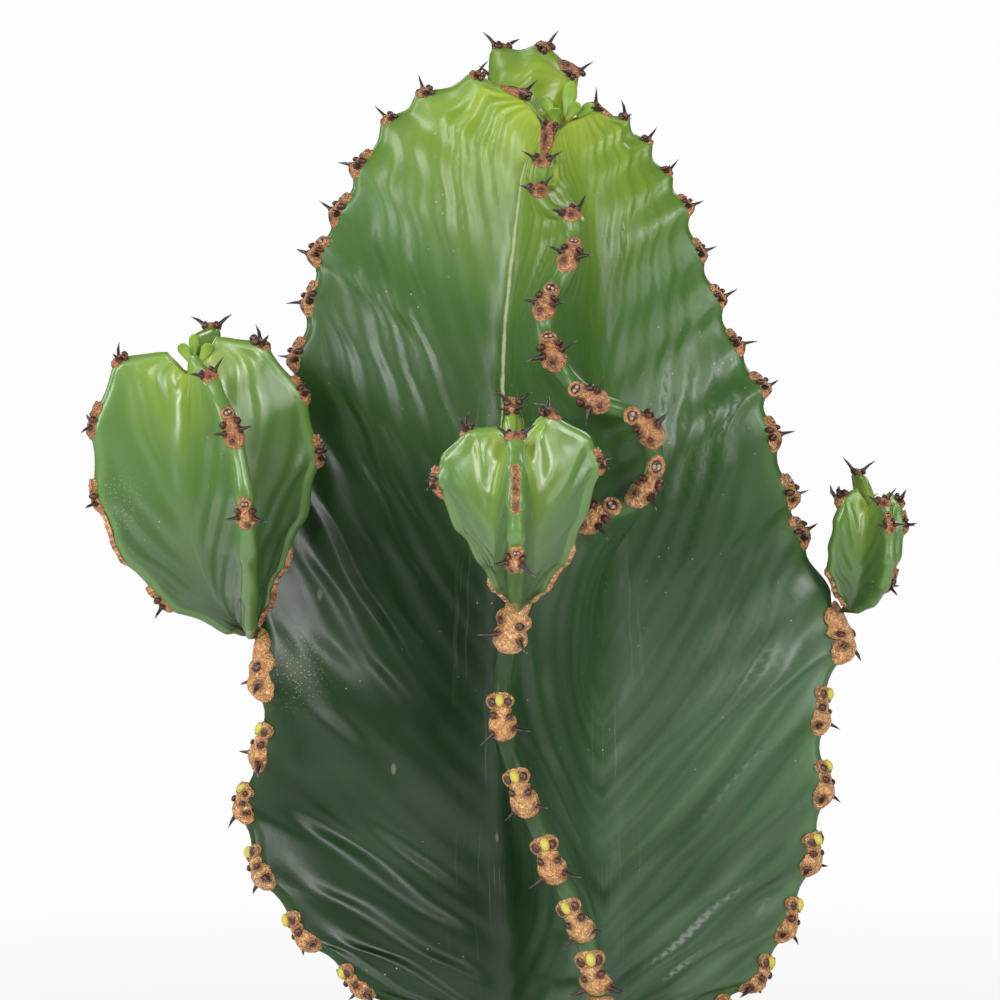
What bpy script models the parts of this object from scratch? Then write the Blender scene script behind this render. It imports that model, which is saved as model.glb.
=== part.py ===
# A candelabra euphorbia in a round clay pot: one four-winged stem with three young branches.
# Axes: +X is the plant's right, -Y its front, +Z up. The origin is the centre of the pot's base.
import math

import bpy
import bmesh
from mathutils import Matrix, Vector

# Driving dimensions, in millimetres.
MM = 0.001
GAP = 0.35
POT_HEIGHT = 190.0
POT_BASE_RADIUS = 76.0
POT_NECK_RADIUS = 103.0
POT_RIM_RADIUS = 110.0
POT_RIM_BAND = 30.0
POT_MOUTH_RADIUS = 102.0
POT_INNER_BASE_RADIUS = 69.0
POT_FLOOR = 9.0
POT_EDGE = 1.5
POT_STEPS = 48
DRAIN_COUNT = 4
DRAIN_RADIUS = 6.0
DRAIN_CIRCLE = 42.0
SOIL_TOP = 168.0
SOIL_CROWN = 1.6
BEAD_RADIUS = 3.0
BAY_DEPTH = 2.2
SHIELD_HALF_WIDTH = 4.3
SHIELD_THICKNESS = 2.1
BRIDGE_HALF_WIDTH = 1.0
BRIDGE_THICKNESS = 0.4
SHIELD_REACH = 0.3
SPINE_LENGTH = 5.2
LEAF_THICKNESS = 1.0

RIBS = ("right", "back", "left", "front")

# Each crest runs from the sunken tip (first point) down to the root, one point for each shield.
STEM_CRESTS = {
    "right": [
        (13, 4, 564), (22, 6, 561), (29, 6, 554), (35, 2, 545), (41, -1, 536), (45, 0, 522),
        (51, 3, 508), (56, 2, 494), (64, -3, 482), (67, -5, 468), (73, -2, 449), (76, 2, 437),
        (83, 3, 421), (90, 0, 403), (83, -5, 382), (84, -8, 361), (81, -5, 338), (74, -6, 317),
        (65, -8, 300),
    ],
    "back": [
        (7, 14, 573), (-2, 26, 580), (-15, 38, 579), (-16, 50, 568), (-14, 58, 556), (-12, 64, 542),
        (-10, 70, 526), (-9, 74, 509), (-8, 77, 492), (-8, 79, 475), (-7, 81, 458), (-6, 82, 440),
        (-5, 82, 420), (-4, 80, 400), (-4, 80, 380), (-5, 82, 360), (-4, 78, 340), (-2, 70, 320),
        (0, 60, 302),
    ],
    "left": [
        (-8, 1, 568), (-22, 2, 574), (-38, 3, 569), (-49, 2, 561), (-58, -2, 548), (-64, -4, 535),
        (-71, -2, 522), (-73, -6, 508), (-77, -10, 492), (-80, -8, 476), (-83, -10, 459), (-86, -14, 441),
        (-88, -21, 420), (-88, -27, 398), (-88, -26, 377), (-94, -20, 358), (-89, -24, 338),
        (-76, -26, 318), (-60, -26, 303),
    ],
    "front": [
        (-1, -12, 559), (-3, -22, 551), (-4, -32, 544), (5, -42, 538), (5, -52, 528), (-2, -61, 515),
        (-1, -69, 502), (10, -74, 489), (26, -76, 481), (27, -78, 464), (12, -80, 456), (-1, -80, 443),
        (-12, -80, 422), (-15, -78, 396), (-9, -76, 373), (-1, -73, 352), (7, -69, 333), (12, -64, 315),
        (15, -56, 300),
    ],
}
# Below the yearly waist the ribs run straight: height and distance from the stem's axis.
STEM_FOOT = [
    (287, 49), (275, 43), (261, 43), (243, 47), (222, 47), (200, 42), (182, 37), (166, 34), (148, 31),
]
STEM_FOOT_ANGLES = {"right": -8, "back": 88, "left": 203, "front": 284}
STEM_AXIS = (1, 0)
STEM_VALLEY_HEIGHTS = [
    560, 552, 543, 531, 517, 501, 484, 467, 450, 433, 416, 399, 383, 367, 351, 336, 322, 309, 297,
    284, 272, 259, 242, 221, 199.5, 182, 166, 148,
]
STEM_VALLEY_RADII = [
    6.5, 10, 13, 15.5, 17.5, 19, 20, 20.5, 21, 21, 21, 21, 21, 21, 21, 21, 21.5, 22, 22,
    21, 20, 20.5, 22, 23.5, 24, 24, 23, 21,
]
# Directions of the four valleys, each one between a rib and the next one counter-clockwise.
VALLEY_ANGLES = (46, 132, 229, 305)
STEM_TIP = (2, 1, 555)

LEFT_BRANCH = {
    "right": [
        (-98, -38, 501), (-85, -36, 499), (-73, -34, 485), (-68, -32, 466), (-71, -32, 449),
        (-77, -32, 434), (-82, -31, 421), (-86.5, -29, 413),
    ],
    "back": [
        (-104, -34, 501), (-100, -22, 502), (-103, -12, 490), (-107, -8, 472), (-107, -10, 452),
        (-103, -17, 434), (-96, -23, 420), (-89, -24.5, 413.5),
    ],
    "left": [
        (-112, -41, 497), (-126, -42, 495), (-134, -42, 477), (-134, -41, 456), (-128, -40, 438),
        (-114, -37, 421), (-98, -32, 412), (-92, -27.7, 410),
    ],
    "front": [
        (-104, -47, 497), (-99, -58, 493), (-93, -68, 481), (-89, -72, 462), (-88, -68, 443),
        (-88, -57, 427), (-88.5, -42, 415), (-89.3, -30.3, 409.5),
    ],
    "axis": [
        (-104, -39, 490), (-103, -39, 484), (-101, -38, 472), (-99, -37, 456), (-97, -36, 441),
        (-94, -33.5, 427), (-91, -30, 417), (-89, -27, 411.8),
    ],
    "radii": [3, 6, 9, 11, 11, 9, 5.5, 2.4],
    "beads": [0.6, 0.8, 0.9, 0.9, 0.9, 0.85, 0.7, 0.4],
    "tip": (-105, -39, 489),
    "root": (-86.6, -24.4, 409.4),
}
FRONT_BRANCH = {
    "right": [
        (-6, -103, 486), (-2, -102, 489), (9, -101, 483), (13.5, -100, 474), (10, -98, 461),
        (5, -96, 447), (-1, -91, 437), (-6.3, -84, 431),
    ],
    "back": [
        (-12, -98, 487), (-12, -93, 491), (-12, -89.5, 484), (-12, -88, 474), (-12, -88, 462),
        (-12, -87, 450), (-11, -84.5, 440), (-9.6, -81, 433.5),
    ],
    "left": [
        (-15, -104, 485), (-24, -104, 485), (-31, -103.5, 478), (-34, -103, 470), (-29, -100, 457),
        (-23, -96, 447), (-18, -90, 437), (-13, -84, 431),
    ],
    "front": [
        (-11, -112, 484.5), (-11, -119, 485), (-11, -127, 479), (-11, -131, 470), (-11, -131, 459),
        (-11, -124, 448), (-11, -106, 436), (-10, -87, 429),
    ],
    "axis": [
        (-11, -104, 478), (-11, -104, 474), (-11, -104, 467), (-11, -103, 459), (-11, -101, 450),
        (-11, -98, 443), (-10.5, -91.5, 436), (-9.7, -84, 431.3),
    ],
    "radii": [3.5, 6, 8, 9, 8.5, 7, 4.5, 2.2],
    "beads": [0.6, 0.75, 0.8, 0.85, 0.85, 0.8, 0.65, 0.4],
    "tip": (-11, -104, 478),
    "root": (-9, -80, 429.5),
}
RIGHT_BRANCH = {
    "right": [
        (101, -8, 450), (104.5, -8, 447), (106, -8, 440), (105, -8, 431), (102, -7, 422),
        (98, -5, 416), (94, -3, 412.5),
    ],
    "back": [
        (94, -2, 453), (92, 4, 454), (94, 8, 447), (95, 9, 437), (95, 7, 427), (94, 3, 419),
        (92, -0.5, 414),
    ],
    "left": [
        (91, -8, 451), (86, -10, 449), (84, -12, 443), (82.5, -12, 435), (82, -11, 427),
        (84.5, -9, 420), (88, -5.5, 414.5),
    ],
    "front": [
        (97, -13, 449.5), (99, -17, 448), (100, -20, 441), (100, -21, 432), (99, -18, 423),
        (96, -12, 416), (92, -6.5, 412.5),
    ],
    "axis": [
        (96, -7, 445), (96, -7, 442), (96, -7, 437), (95.5, -6.5, 430), (95, -6, 424),
        (93.5, -5, 418.5), (91.3, -4, 414),
    ],
    "radii": [2.2, 3.6, 4.8, 5.4, 5, 4, 2],
    "beads": [0.45, 0.55, 0.65, 0.7, 0.7, 0.6, 0.35],
    "tip": (96, -7, 444.5),
    "root": (87.4, -1, 412.6),
}

# Shields along each crest: place along the crest and size; strips: start, end and half width.
STEM_SHIELD_SIZES = [0.5, 0.62, 0.72, 0.78, 0.82, 0.85, 0.88, 0.9, 0.95] + [1.0] * 15
STEM_ROWS = {
    "shields_right_upper": ("right", 0, 11),
    "shields_right_lower": ("right", 13, 23),
    "shields_back": ("back", 0, 23),
    "shields_left_upper": ("left", 0, 11),
    "shields_left_lower": ("left", 13, 23),
    "shields_front_upper": ("front", 0, 10),
    "shields_front_lower": ("front", 12, 23),
}
BRANCH_ROWS = {
    "shields_left_branch_right": ("left", "right", [(1, 0.7), (2, 0.75), (3, 0.75)], (5.0, 6.5, 2.0)),
    "shields_left_branch_back": ("left", "back", [(1, 0.65), (2, 0.7), (3, 0.8), (4.2, 0.8)], None),
    "shields_left_branch_left": ("left", "left", [(1, 0.65), (2, 0.8), (3.1, 0.8), (4.9, 0.7)], (3.1, 4.3, 2.0)),
    "shields_left_branch_front": ("left", "front", [(1, 0.65), (2.1, 0.8), (3.4, 0.75)], None),
    "shields_front_branch_right": ("front", "right", [(1, 0.7), (2.9, 0.6)], (5.0, 6.6, 1.7)),
    "shields_front_branch_back": ("front", "back", [(0.4, 0.5), (1.1, 0.6), (2.6, 0.6)], None),
    "shields_front_branch_left": ("front", "left", [(1.1, 0.6), (3.0, 0.7)], (5.6, 6.6, 1.5)),
    "shields_front_branch_front": ("front", "front", [(0.8, 0.7), (4.7, 0.75)], (2.0, 3.4, 1.6)),
    "shields_right_branch_right": ("right", "right", [(0.9, 0.5), (1.9, 0.5), (4.0, 0.6)], None),
    "shields_right_branch_back": ("right", "back", [(0.9, 0.55), (2.2, 0.5)], None),
    "shields_right_branch_left": ("right", "left", [(1.1, 0.65)], (4.3, 5.5, 1.5)),
    "shields_right_branch_front": ("right", "front", [(0.8, 0.5), (1.8, 0.45)], None),
}

# Tiny leaves in the tips: foot, lean across, lean in depth, length and width.
LEAVES = {
    "leaf_1": ((4.5, 4.5, 560.5), 8, -10, 13.5, 4.4),
    "leaf_2": ((0.5, 3.0, 560.0), -22, -4, 9.5, 3.8),
    "leaf_3": ((4.5, 0.5, 560.0), 30, 8, 8.5, 3.8),
    "leaf_4": ((7.5, 2.2, 561.0), 52, 0, 8.0, 3.4),
    "leaf_5": ((1.0, -1.5, 559.5), 0, 28, 7.5, 3.4),
    "leaf_6": ((-105.5, -41.0, 494.0), -25, 10, 8.0, 3.4),
    "leaf_7": ((-102.5, -41.0, 494.0), 28, 12, 8.5, 3.4),
    "leaf_8": ((-104.5, -38.5, 494.5), 0, -8, 9.0, 3.0),
}

COLOURS = {
    "pot": ((0.50, 0.21, 0.11), 0.85),
    "soil": ((0.07, 0.045, 0.03), 0.95),
    "stem": ((0.10, 0.23, 0.07), 0.35),
    "branch": ((0.16, 0.33, 0.08), 0.35),
    "shields": ((0.50, 0.24, 0.10), 0.8),
    "leaf": ((0.33, 0.52, 0.09), 0.45),
}


def collection(name):
    group = bpy.data.collections.new(name)
    bpy.context.scene.collection.children.link(group)
    return group


def material(name, kind):
    colour, roughness = COLOURS[kind]
    surface = bpy.data.materials.new(name)
    surface.use_nodes = True
    shader = surface.node_tree.nodes["Principled BSDF"]
    shader.inputs["Base Color"].default_value = (*colour, 1.0)
    shader.inputs["Roughness"].default_value = roughness
    shader.inputs["Metallic"].default_value = 0.0
    return surface


def object_from(bm, name, kind, group):
    bmesh.ops.recalc_face_normals(bm, faces=bm.faces)
    if bm.calc_volume(signed=True) < 0:
        bmesh.ops.reverse_faces(bm, faces=bm.faces)
    mesh = bpy.data.meshes.new(name)
    bm.to_mesh(mesh)
    bm.free()
    mesh.transform(Matrix.Scale(MM, 4))
    mesh.materials.append(material(name, kind))
    mesh.shade_smooth()
    mesh.set_sharp_from_angle(angle=math.radians(40))
    thing = bpy.data.objects.new(name, mesh)
    group.objects.link(thing)
    return thing


def cutter_from(bm, name):
    thing = object_from(bm, name, "soil", cutters)
    thing.hide_render = True
    thing.display_type = "WIRE"
    return thing


def cut(thing, cutter):
    modifier = thing.modifiers.new("cut_" + cutter.name, "BOOLEAN")
    modifier.operation = "DIFFERENCE"
    modifier.object = cutter


def smooth_value(values, place):
    # Catmull-Rom curve through the values, which are points or plain numbers.
    last = len(values) - 1
    index = min(int(place), last - 1)
    share = place - index
    before = values[max(index - 1, 0)]
    start = values[index]
    end = values[index + 1]
    after = values[min(index + 2, last)]
    slope_in = (end - before) * 0.5
    slope_out = (after - start) * 0.5
    square = share * share
    cube = square * share
    return (
        start * (2 * cube - 3 * square + 1)
        + slope_in * (cube - 2 * square + share)
        + end * (3 * square - 2 * cube)
        + slope_out * (cube - square)
    )


def stem_plant():
    crests = {}
    for rib in RIBS:
        angle = math.radians(STEM_FOOT_ANGLES[rib])
        foot = [
            (STEM_AXIS[0] + reach * math.cos(angle), STEM_AXIS[1] + reach * math.sin(angle), height)
            for height, reach in STEM_FOOT
        ]
        crests[rib] = [Vector(point) for point in STEM_CRESTS[rib] + foot]
    axis = [Vector((*STEM_AXIS, height)) for height in STEM_VALLEY_HEIGHTS]
    beads = [0.55, 0.7, 0.8, 0.9] + [1.0] * (len(axis) - 4)
    return {
        "crests": crests,
        "axis": axis,
        "radii": STEM_VALLEY_RADII,
        "beads": beads,
        "tip": Vector(STEM_TIP),
        "root": None,
        "bay": BAY_DEPTH,
        "last": len(axis) - 1,
    }


def branch_plant(shape, bay):
    return {
        "crests": {rib: [Vector(point) for point in shape[rib]] for rib in RIBS},
        "axis": [Vector(point) for point in shape["axis"]],
        "radii": shape["radii"],
        "beads": shape["beads"],
        "tip": Vector(shape["tip"]),
        "root": Vector(shape["root"]),
        "bay": bay,
        "last": len(shape["axis"]) - 1,
    }


def valley_point(plant, number, place, swell):
    angle = math.radians(VALLEY_ANGLES[number])
    radius = smooth_value(plant["radii"], place) + swell
    return smooth_value(plant["axis"], place) + Vector((math.cos(angle), math.sin(angle), 0)) * radius


def crest_frame(plant, rib, place):
    # Crest point, outward direction, sideways direction and upward direction along the crest.
    points = plant["crests"][rib]
    crest = smooth_value(points, place)
    above = smooth_value(points, max(place - 0.15, 0))
    below = smooth_value(points, min(place + 0.15, plant["last"]))
    along = (above - below).normalized()
    number = RIBS.index(rib)
    across = valley_point(plant, number, place, 0.0) - valley_point(plant, number - 1, place, 0.0)
    sideways = (across - along * across.dot(along)).normalized()
    outward = sideways.cross(along).normalized()
    fade = min(place, plant["last"] - place, 1.0)
    crest = crest - outward * plant["bay"] * fade * (1 - math.cos(2 * math.pi * place)) / 2
    return crest, outward, sideways, along


def ring_points(plant, place, swell):
    # One closed loop: each rib is a rounded crest bead with two flanks that end in the valleys.
    loop = []
    bead = BEAD_RADIUS * smooth_value(plant["beads"], place) + swell
    for number, rib in enumerate(RIBS):
        crest, outward, sideways, along = crest_frame(plant, rib, place)
        crest = crest + outward * swell
        before = valley_point(plant, number - 1, place, swell * 1.4)
        after = valley_point(plant, number, place, swell * 1.4)
        edge_before = crest - outward * bead - sideways * bead
        edge_after = crest - outward * bead + sideways * bead
        loop.append(before)
        loop.append(edge_before.lerp(before, 0.7) - sideways * (0.4 + swell))
        loop.append(edge_before.lerp(before, 0.35) - sideways * (0.8 + swell))
        loop.append(edge_before)
        loop.append(crest - outward * bead * 0.27 - sideways * bead * 0.74)
        loop.append(crest)
        loop.append(crest - outward * bead * 0.27 + sideways * bead * 0.74)
        loop.append(edge_after)
        loop.append(edge_after.lerp(after, 0.35) + sideways * (0.8 + swell))
        loop.append(edge_after.lerp(after, 0.7) + sideways * (0.4 + swell))
    if place == plant["last"] and not plant["root"]:
        # The cut root of the stem is flat.
        for point in loop:
            point.z = plant["axis"][-1].z
    return loop


def join_loops(bm, upper, lower):
    count = len(upper)
    for index in range(count):
        following = (index + 1) % count
        bm.faces.new((upper[index], lower[index], lower[following], upper[following]))


def close_with_point(bm, loop, point, flip):
    centre = bm.verts.new(point)
    count = len(loop)
    for index in range(count):
        pair = (loop[index], loop[(index + 1) % count])
        corners = (centre, *reversed(pair)) if flip else (centre, *pair)
        bm.faces.new(corners)


def plant_body(plant, first, last, swell, sunken_tip):
    bm = bmesh.new()
    loops = []
    steps = int(round((last - first) * 2))
    for step in range(steps + 1):
        points = ring_points(plant, first + step * 0.5, swell)
        loops.append([bm.verts.new(point) for point in points])
    if sunken_tip:
        inner = [bm.verts.new(vertex.co.lerp(plant["tip"], 0.5)) for vertex in loops[0]]
        loops.insert(0, inner)
    for upper, lower in zip(loops, loops[1:]):
        join_loops(bm, upper, lower)
    if sunken_tip:
        close_with_point(bm, loops[0], plant["tip"], False)
    else:
        bm.faces.new(loops[0])
    if last == plant["last"] and plant["root"]:
        close_with_point(bm, loops[-1], plant["root"], True)
    else:
        bm.faces.new(list(reversed(loops[-1])))
    return bm


def row_frame(plant, rib, place):
    # The body is straight between its half steps, so a row's frame is a blend of the two nearest.
    start = math.floor(place * 2) / 2
    end = min(start + 0.5, plant["last"])
    share = (place - start) / 0.5
    lower = crest_frame(plant, rib, start)
    if share < 0.001:
        return lower
    upper = crest_frame(plant, rib, end)
    return tuple(first.lerp(second, share) for first, second in zip(lower, upper))


def shield_size(place, shields, strip):
    # Half width and thickness at a place: full on a shield, narrow on the crest between shields.
    width = BRIDGE_HALF_WIDTH
    thickness = BRIDGE_THICKNESS
    if strip and strip[0] <= place <= strip[1]:
        width = strip[2]
        thickness = 0.8
    for centre, size in shields:
        distance = (place - centre) / SHIELD_REACH
        if abs(distance) <= 1.01:
            below = 0.68 if distance > 0 else 0.5
            share = 1 - (1 - below) * abs(distance)
            width = max(width, SHIELD_HALF_WIDTH * size * share)
            thickness = max(thickness, SHIELD_THICKNESS * size * (1 - 0.6 * abs(distance)))
    return width, thickness


def row_section(bm, frame, width, thickness):
    # Six corners: the inner side is a shallow V that clears the crest bead by the gap.
    crest, outward, sideways, along = frame
    clear = 0.5
    slope = 0.42
    edge = clear - slope * width
    shoulder = clear - slope * width * 0.55 + thickness * 0.85
    corners = [
        crest + outward * (clear + thickness),
        crest + outward * shoulder + sideways * width * 0.55,
        crest + outward * edge + sideways * width,
        crest + outward * clear,
        crest + outward * edge - sideways * width,
        crest + outward * shoulder - sideways * width * 0.55,
    ]
    return [bm.verts.new(corner) for corner in corners]


def add_spine(bm, corners, tip):
    point = bm.verts.new(tip)
    for index in range(4):
        bm.faces.new((corners[index], corners[(index + 1) % 4], point))


def row_body(plant, rib, shields, strip):
    bm = bmesh.new()
    first = shields[0][0] - SHIELD_REACH
    last = shields[-1][0] + SHIELD_REACH
    if strip:
        first = min(first, strip[0])
        last = max(last, strip[1])
    first = max(first, 0.0)
    last = min(last, plant["last"])
    places = {round(first, 3), round(last, 3)}
    for centre, size in shields:
        places.update(round(centre + offset, 3) for offset in (-SHIELD_REACH, 0.0, SHIELD_REACH))
    half = math.ceil(first * 2)
    while half / 2 < last:
        places.add(half / 2)
        half += 1
    if strip:
        places.update((strip[0], strip[1]))
    ordered = sorted(place for place in places if first <= place <= last)
    kept = [ordered[0]]
    for place in ordered[1:]:
        if place - kept[-1] > 0.06:
            kept.append(place)
    centres = {round(centre, 3): size for centre, size in shields}
    loops = []
    frames = []
    for place in kept:
        frame = row_frame(plant, rib, place)
        width, thickness = shield_size(place, shields, strip)
        frames.append(frame)
        loops.append(row_section(bm, frame, width, thickness))
    for number in range(len(loops) - 1):
        upper = loops[number]
        lower = loops[number + 1]
        size = centres.get(kept[number])
        for index in range(6):
            following = (index + 1) % 6
            corners = (upper[index], upper[following], lower[following], lower[index])
            if size and index in (0, 5):
                crest, outward, sideways, along = frames[number]
                hand = 1 if index == 0 else -1
                middle = sum((corner.co for corner in corners), Vector()) / 4
                reach = (outward * 0.72 + sideways * hand * 0.72 - along * 0.12) * SPINE_LENGTH
                add_spine(bm, corners, middle + reach * (0.6 + 0.4 * size))
            else:
                bm.faces.new(corners)
    bm.faces.new(list(reversed(loops[0])))
    bm.faces.new(loops[-1])
    return bm


def turned(name, kind, profile, group):
    # A solid of revolution about Z: the profile runs from the axis over the top and down outside.
    mesh = bpy.data.meshes.new(name)
    points = [(radius * MM, 0.0, height * MM) for radius, height in profile]
    edges = [(index, index + 1) for index in range(len(points) - 1)]
    mesh.from_pydata(points, edges, [])
    mesh.materials.append(material(name, kind))
    thing = bpy.data.objects.new(name, mesh)
    group.objects.link(thing)
    screw = thing.modifiers.new("turn", "SCREW")
    screw.steps = POT_STEPS
    screw.render_steps = POT_STEPS
    screw.use_merge_vertices = True
    screw.merge_threshold = 0.0001
    return thing


def inner_radius(height):
    share = (height - POT_FLOOR) / (POT_HEIGHT - POT_FLOOR)
    return POT_INNER_BASE_RADIUS + (POT_MOUTH_RADIUS - POT_INNER_BASE_RADIUS) * share


def make_pot(group):
    band = POT_HEIGHT - POT_RIM_BAND
    profile = [
        (0, POT_FLOOR),
        (POT_INNER_BASE_RADIUS, POT_FLOOR),
        (inner_radius(POT_HEIGHT - POT_EDGE), POT_HEIGHT - POT_EDGE),
        (POT_MOUTH_RADIUS + POT_EDGE, POT_HEIGHT),
        (POT_RIM_RADIUS - POT_EDGE, POT_HEIGHT),
        (POT_RIM_RADIUS, POT_HEIGHT - POT_EDGE),
        (POT_RIM_RADIUS - 1, band + POT_EDGE),
        (POT_RIM_RADIUS - 1 - POT_EDGE, band),
        (POT_NECK_RADIUS, band - POT_EDGE),
        (POT_BASE_RADIUS + POT_EDGE * 0.6, POT_EDGE * 2),
        (POT_BASE_RADIUS - POT_EDGE, 0),
        (0, 0),
    ]
    pot = turned("pot", "pot", profile, group)
    for index in range(DRAIN_COUNT):
        angle = 2 * math.pi * (index + 0.5) / DRAIN_COUNT
        bm = bmesh.new()
        bmesh.ops.create_cone(
            bm, cap_ends=True, segments=16, radius1=DRAIN_RADIUS, radius2=DRAIN_RADIUS, depth=POT_FLOOR * 2
        )
        place = (DRAIN_CIRCLE * math.cos(angle), DRAIN_CIRCLE * math.sin(angle), POT_FLOOR / 2)
        bmesh.ops.translate(bm, verts=bm.verts, vec=place)
        cut(pot, cutter_from(bm, "drain_" + str(index + 1)))
    return pot


def make_soil(group, plant):
    edge = inner_radius(SOIL_TOP) - GAP
    profile = [
        (0, SOIL_TOP + SOIL_CROWN),
        (50, SOIL_TOP + SOIL_CROWN * 0.9),
        (edge - 8, SOIL_TOP),
        (edge - 0.6, SOIL_TOP - 2),
        (POT_INNER_BASE_RADIUS - GAP * 1.5, POT_FLOOR + GAP),
        (0, POT_FLOOR + GAP),
    ]
    soil = turned("soil", "soil", profile, group)
    socket = plant_body(plant, 24, plant["last"], GAP + 0.15, False)
    for vertex in socket.verts:
        if vertex.co.z < STEM_VALLEY_HEIGHTS[-1] + 0.01:
            vertex.co.z -= GAP
    cut(soil, cutter_from(socket, "stem_socket"))
    return soil


def make_branch(name, plant, seat, group):
    branch = object_from(plant_body(plant, 0, plant["last"], 0.0, True), name, "branch", group)
    cut(branch, seat)
    return branch


def make_leaf(name, foot, across, depth, length, width, group):
    # A small fleshy leaf: a flattened egg that narrows to its foot and tip and curls outward.
    bm = bmesh.new()
    bmesh.ops.create_uvsphere(bm, u_segments=8, v_segments=6, radius=0.5)
    for vertex in bm.verts:
        height = vertex.co.z + 0.5
        vertex.co.x *= width
        vertex.co.y = vertex.co.y * LEAF_THICKNESS - 0.12 * length * height * height
        vertex.co.z = height * length
    turn = Matrix.Rotation(math.radians(across), 4, "Y") @ Matrix.Rotation(math.radians(depth), 4, "X")
    bmesh.ops.transform(bm, matrix=Matrix.Translation(foot) @ turn, verts=bm.verts)
    return object_from(bm, name, "leaf", group)


for old in list(bpy.data.objects):
    bpy.data.objects.remove(old, do_unlink=True)

parts = collection("potted_euphorbia")
cutters = collection("cutters")

stem = stem_plant()
branches = {
    "left": branch_plant(LEFT_BRANCH, 1.2),
    "front": branch_plant(FRONT_BRANCH, 0.8),
    "right": branch_plant(RIGHT_BRANCH, 0.5),
}

make_pot(parts)
make_soil(parts, stem)
object_from(plant_body(stem, 0, stem["last"], 0.0, True), "stem", "stem", parts)
seat_body = plant_body(stem, 10, 15, GAP, False)
seat_cutter = cutter_from(seat_body, "branch_seat")
for side, shape in branches.items():
    make_branch("branch_" + side, shape, seat_cutter, parts)

for row_name, (rib, start, end) in STEM_ROWS.items():
    row_shields = [(index, STEM_SHIELD_SIZES[index]) for index in range(start, end + 1)]
    object_from(row_body(stem, rib, row_shields, None), row_name, "shields", parts)
for row_name, (side, rib, row_shields, row_strip) in BRANCH_ROWS.items():
    object_from(row_body(branches[side], rib, row_shields, row_strip), row_name, "shields", parts)

for leaf_name, (foot, across, depth, length, width) in LEAVES.items():
    make_leaf(leaf_name, foot, across, depth, length, width, parts)
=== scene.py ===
import math
import random

import bpy
import numpy as np
from mathutils import Matrix, Vector, noise


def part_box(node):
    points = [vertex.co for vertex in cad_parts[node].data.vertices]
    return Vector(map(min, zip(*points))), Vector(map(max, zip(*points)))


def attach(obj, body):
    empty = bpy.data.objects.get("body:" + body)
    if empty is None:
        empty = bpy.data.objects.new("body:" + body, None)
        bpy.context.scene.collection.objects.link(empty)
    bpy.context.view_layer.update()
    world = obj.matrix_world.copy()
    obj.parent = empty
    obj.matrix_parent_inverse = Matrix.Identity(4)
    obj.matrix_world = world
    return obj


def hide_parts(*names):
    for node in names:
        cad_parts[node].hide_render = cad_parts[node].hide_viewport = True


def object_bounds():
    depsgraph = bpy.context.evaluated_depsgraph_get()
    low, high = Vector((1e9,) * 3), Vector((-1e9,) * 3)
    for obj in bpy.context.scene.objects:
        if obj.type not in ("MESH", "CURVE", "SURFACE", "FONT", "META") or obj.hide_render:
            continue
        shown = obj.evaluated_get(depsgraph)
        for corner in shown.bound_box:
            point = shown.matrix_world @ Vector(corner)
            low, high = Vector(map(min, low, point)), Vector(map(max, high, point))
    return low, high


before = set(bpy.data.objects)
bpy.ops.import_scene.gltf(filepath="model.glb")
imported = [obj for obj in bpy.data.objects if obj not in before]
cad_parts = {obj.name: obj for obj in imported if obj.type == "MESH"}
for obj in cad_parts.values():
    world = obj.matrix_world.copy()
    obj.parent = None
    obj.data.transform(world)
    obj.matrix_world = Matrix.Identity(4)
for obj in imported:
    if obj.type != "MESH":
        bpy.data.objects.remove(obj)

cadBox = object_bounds()
mm = 0.001
ribNames = ("right", "back", "left", "front")
valleyAngles = (46, 132, 229, 305)  # between each rib and the next, counter-clockwise

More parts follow.
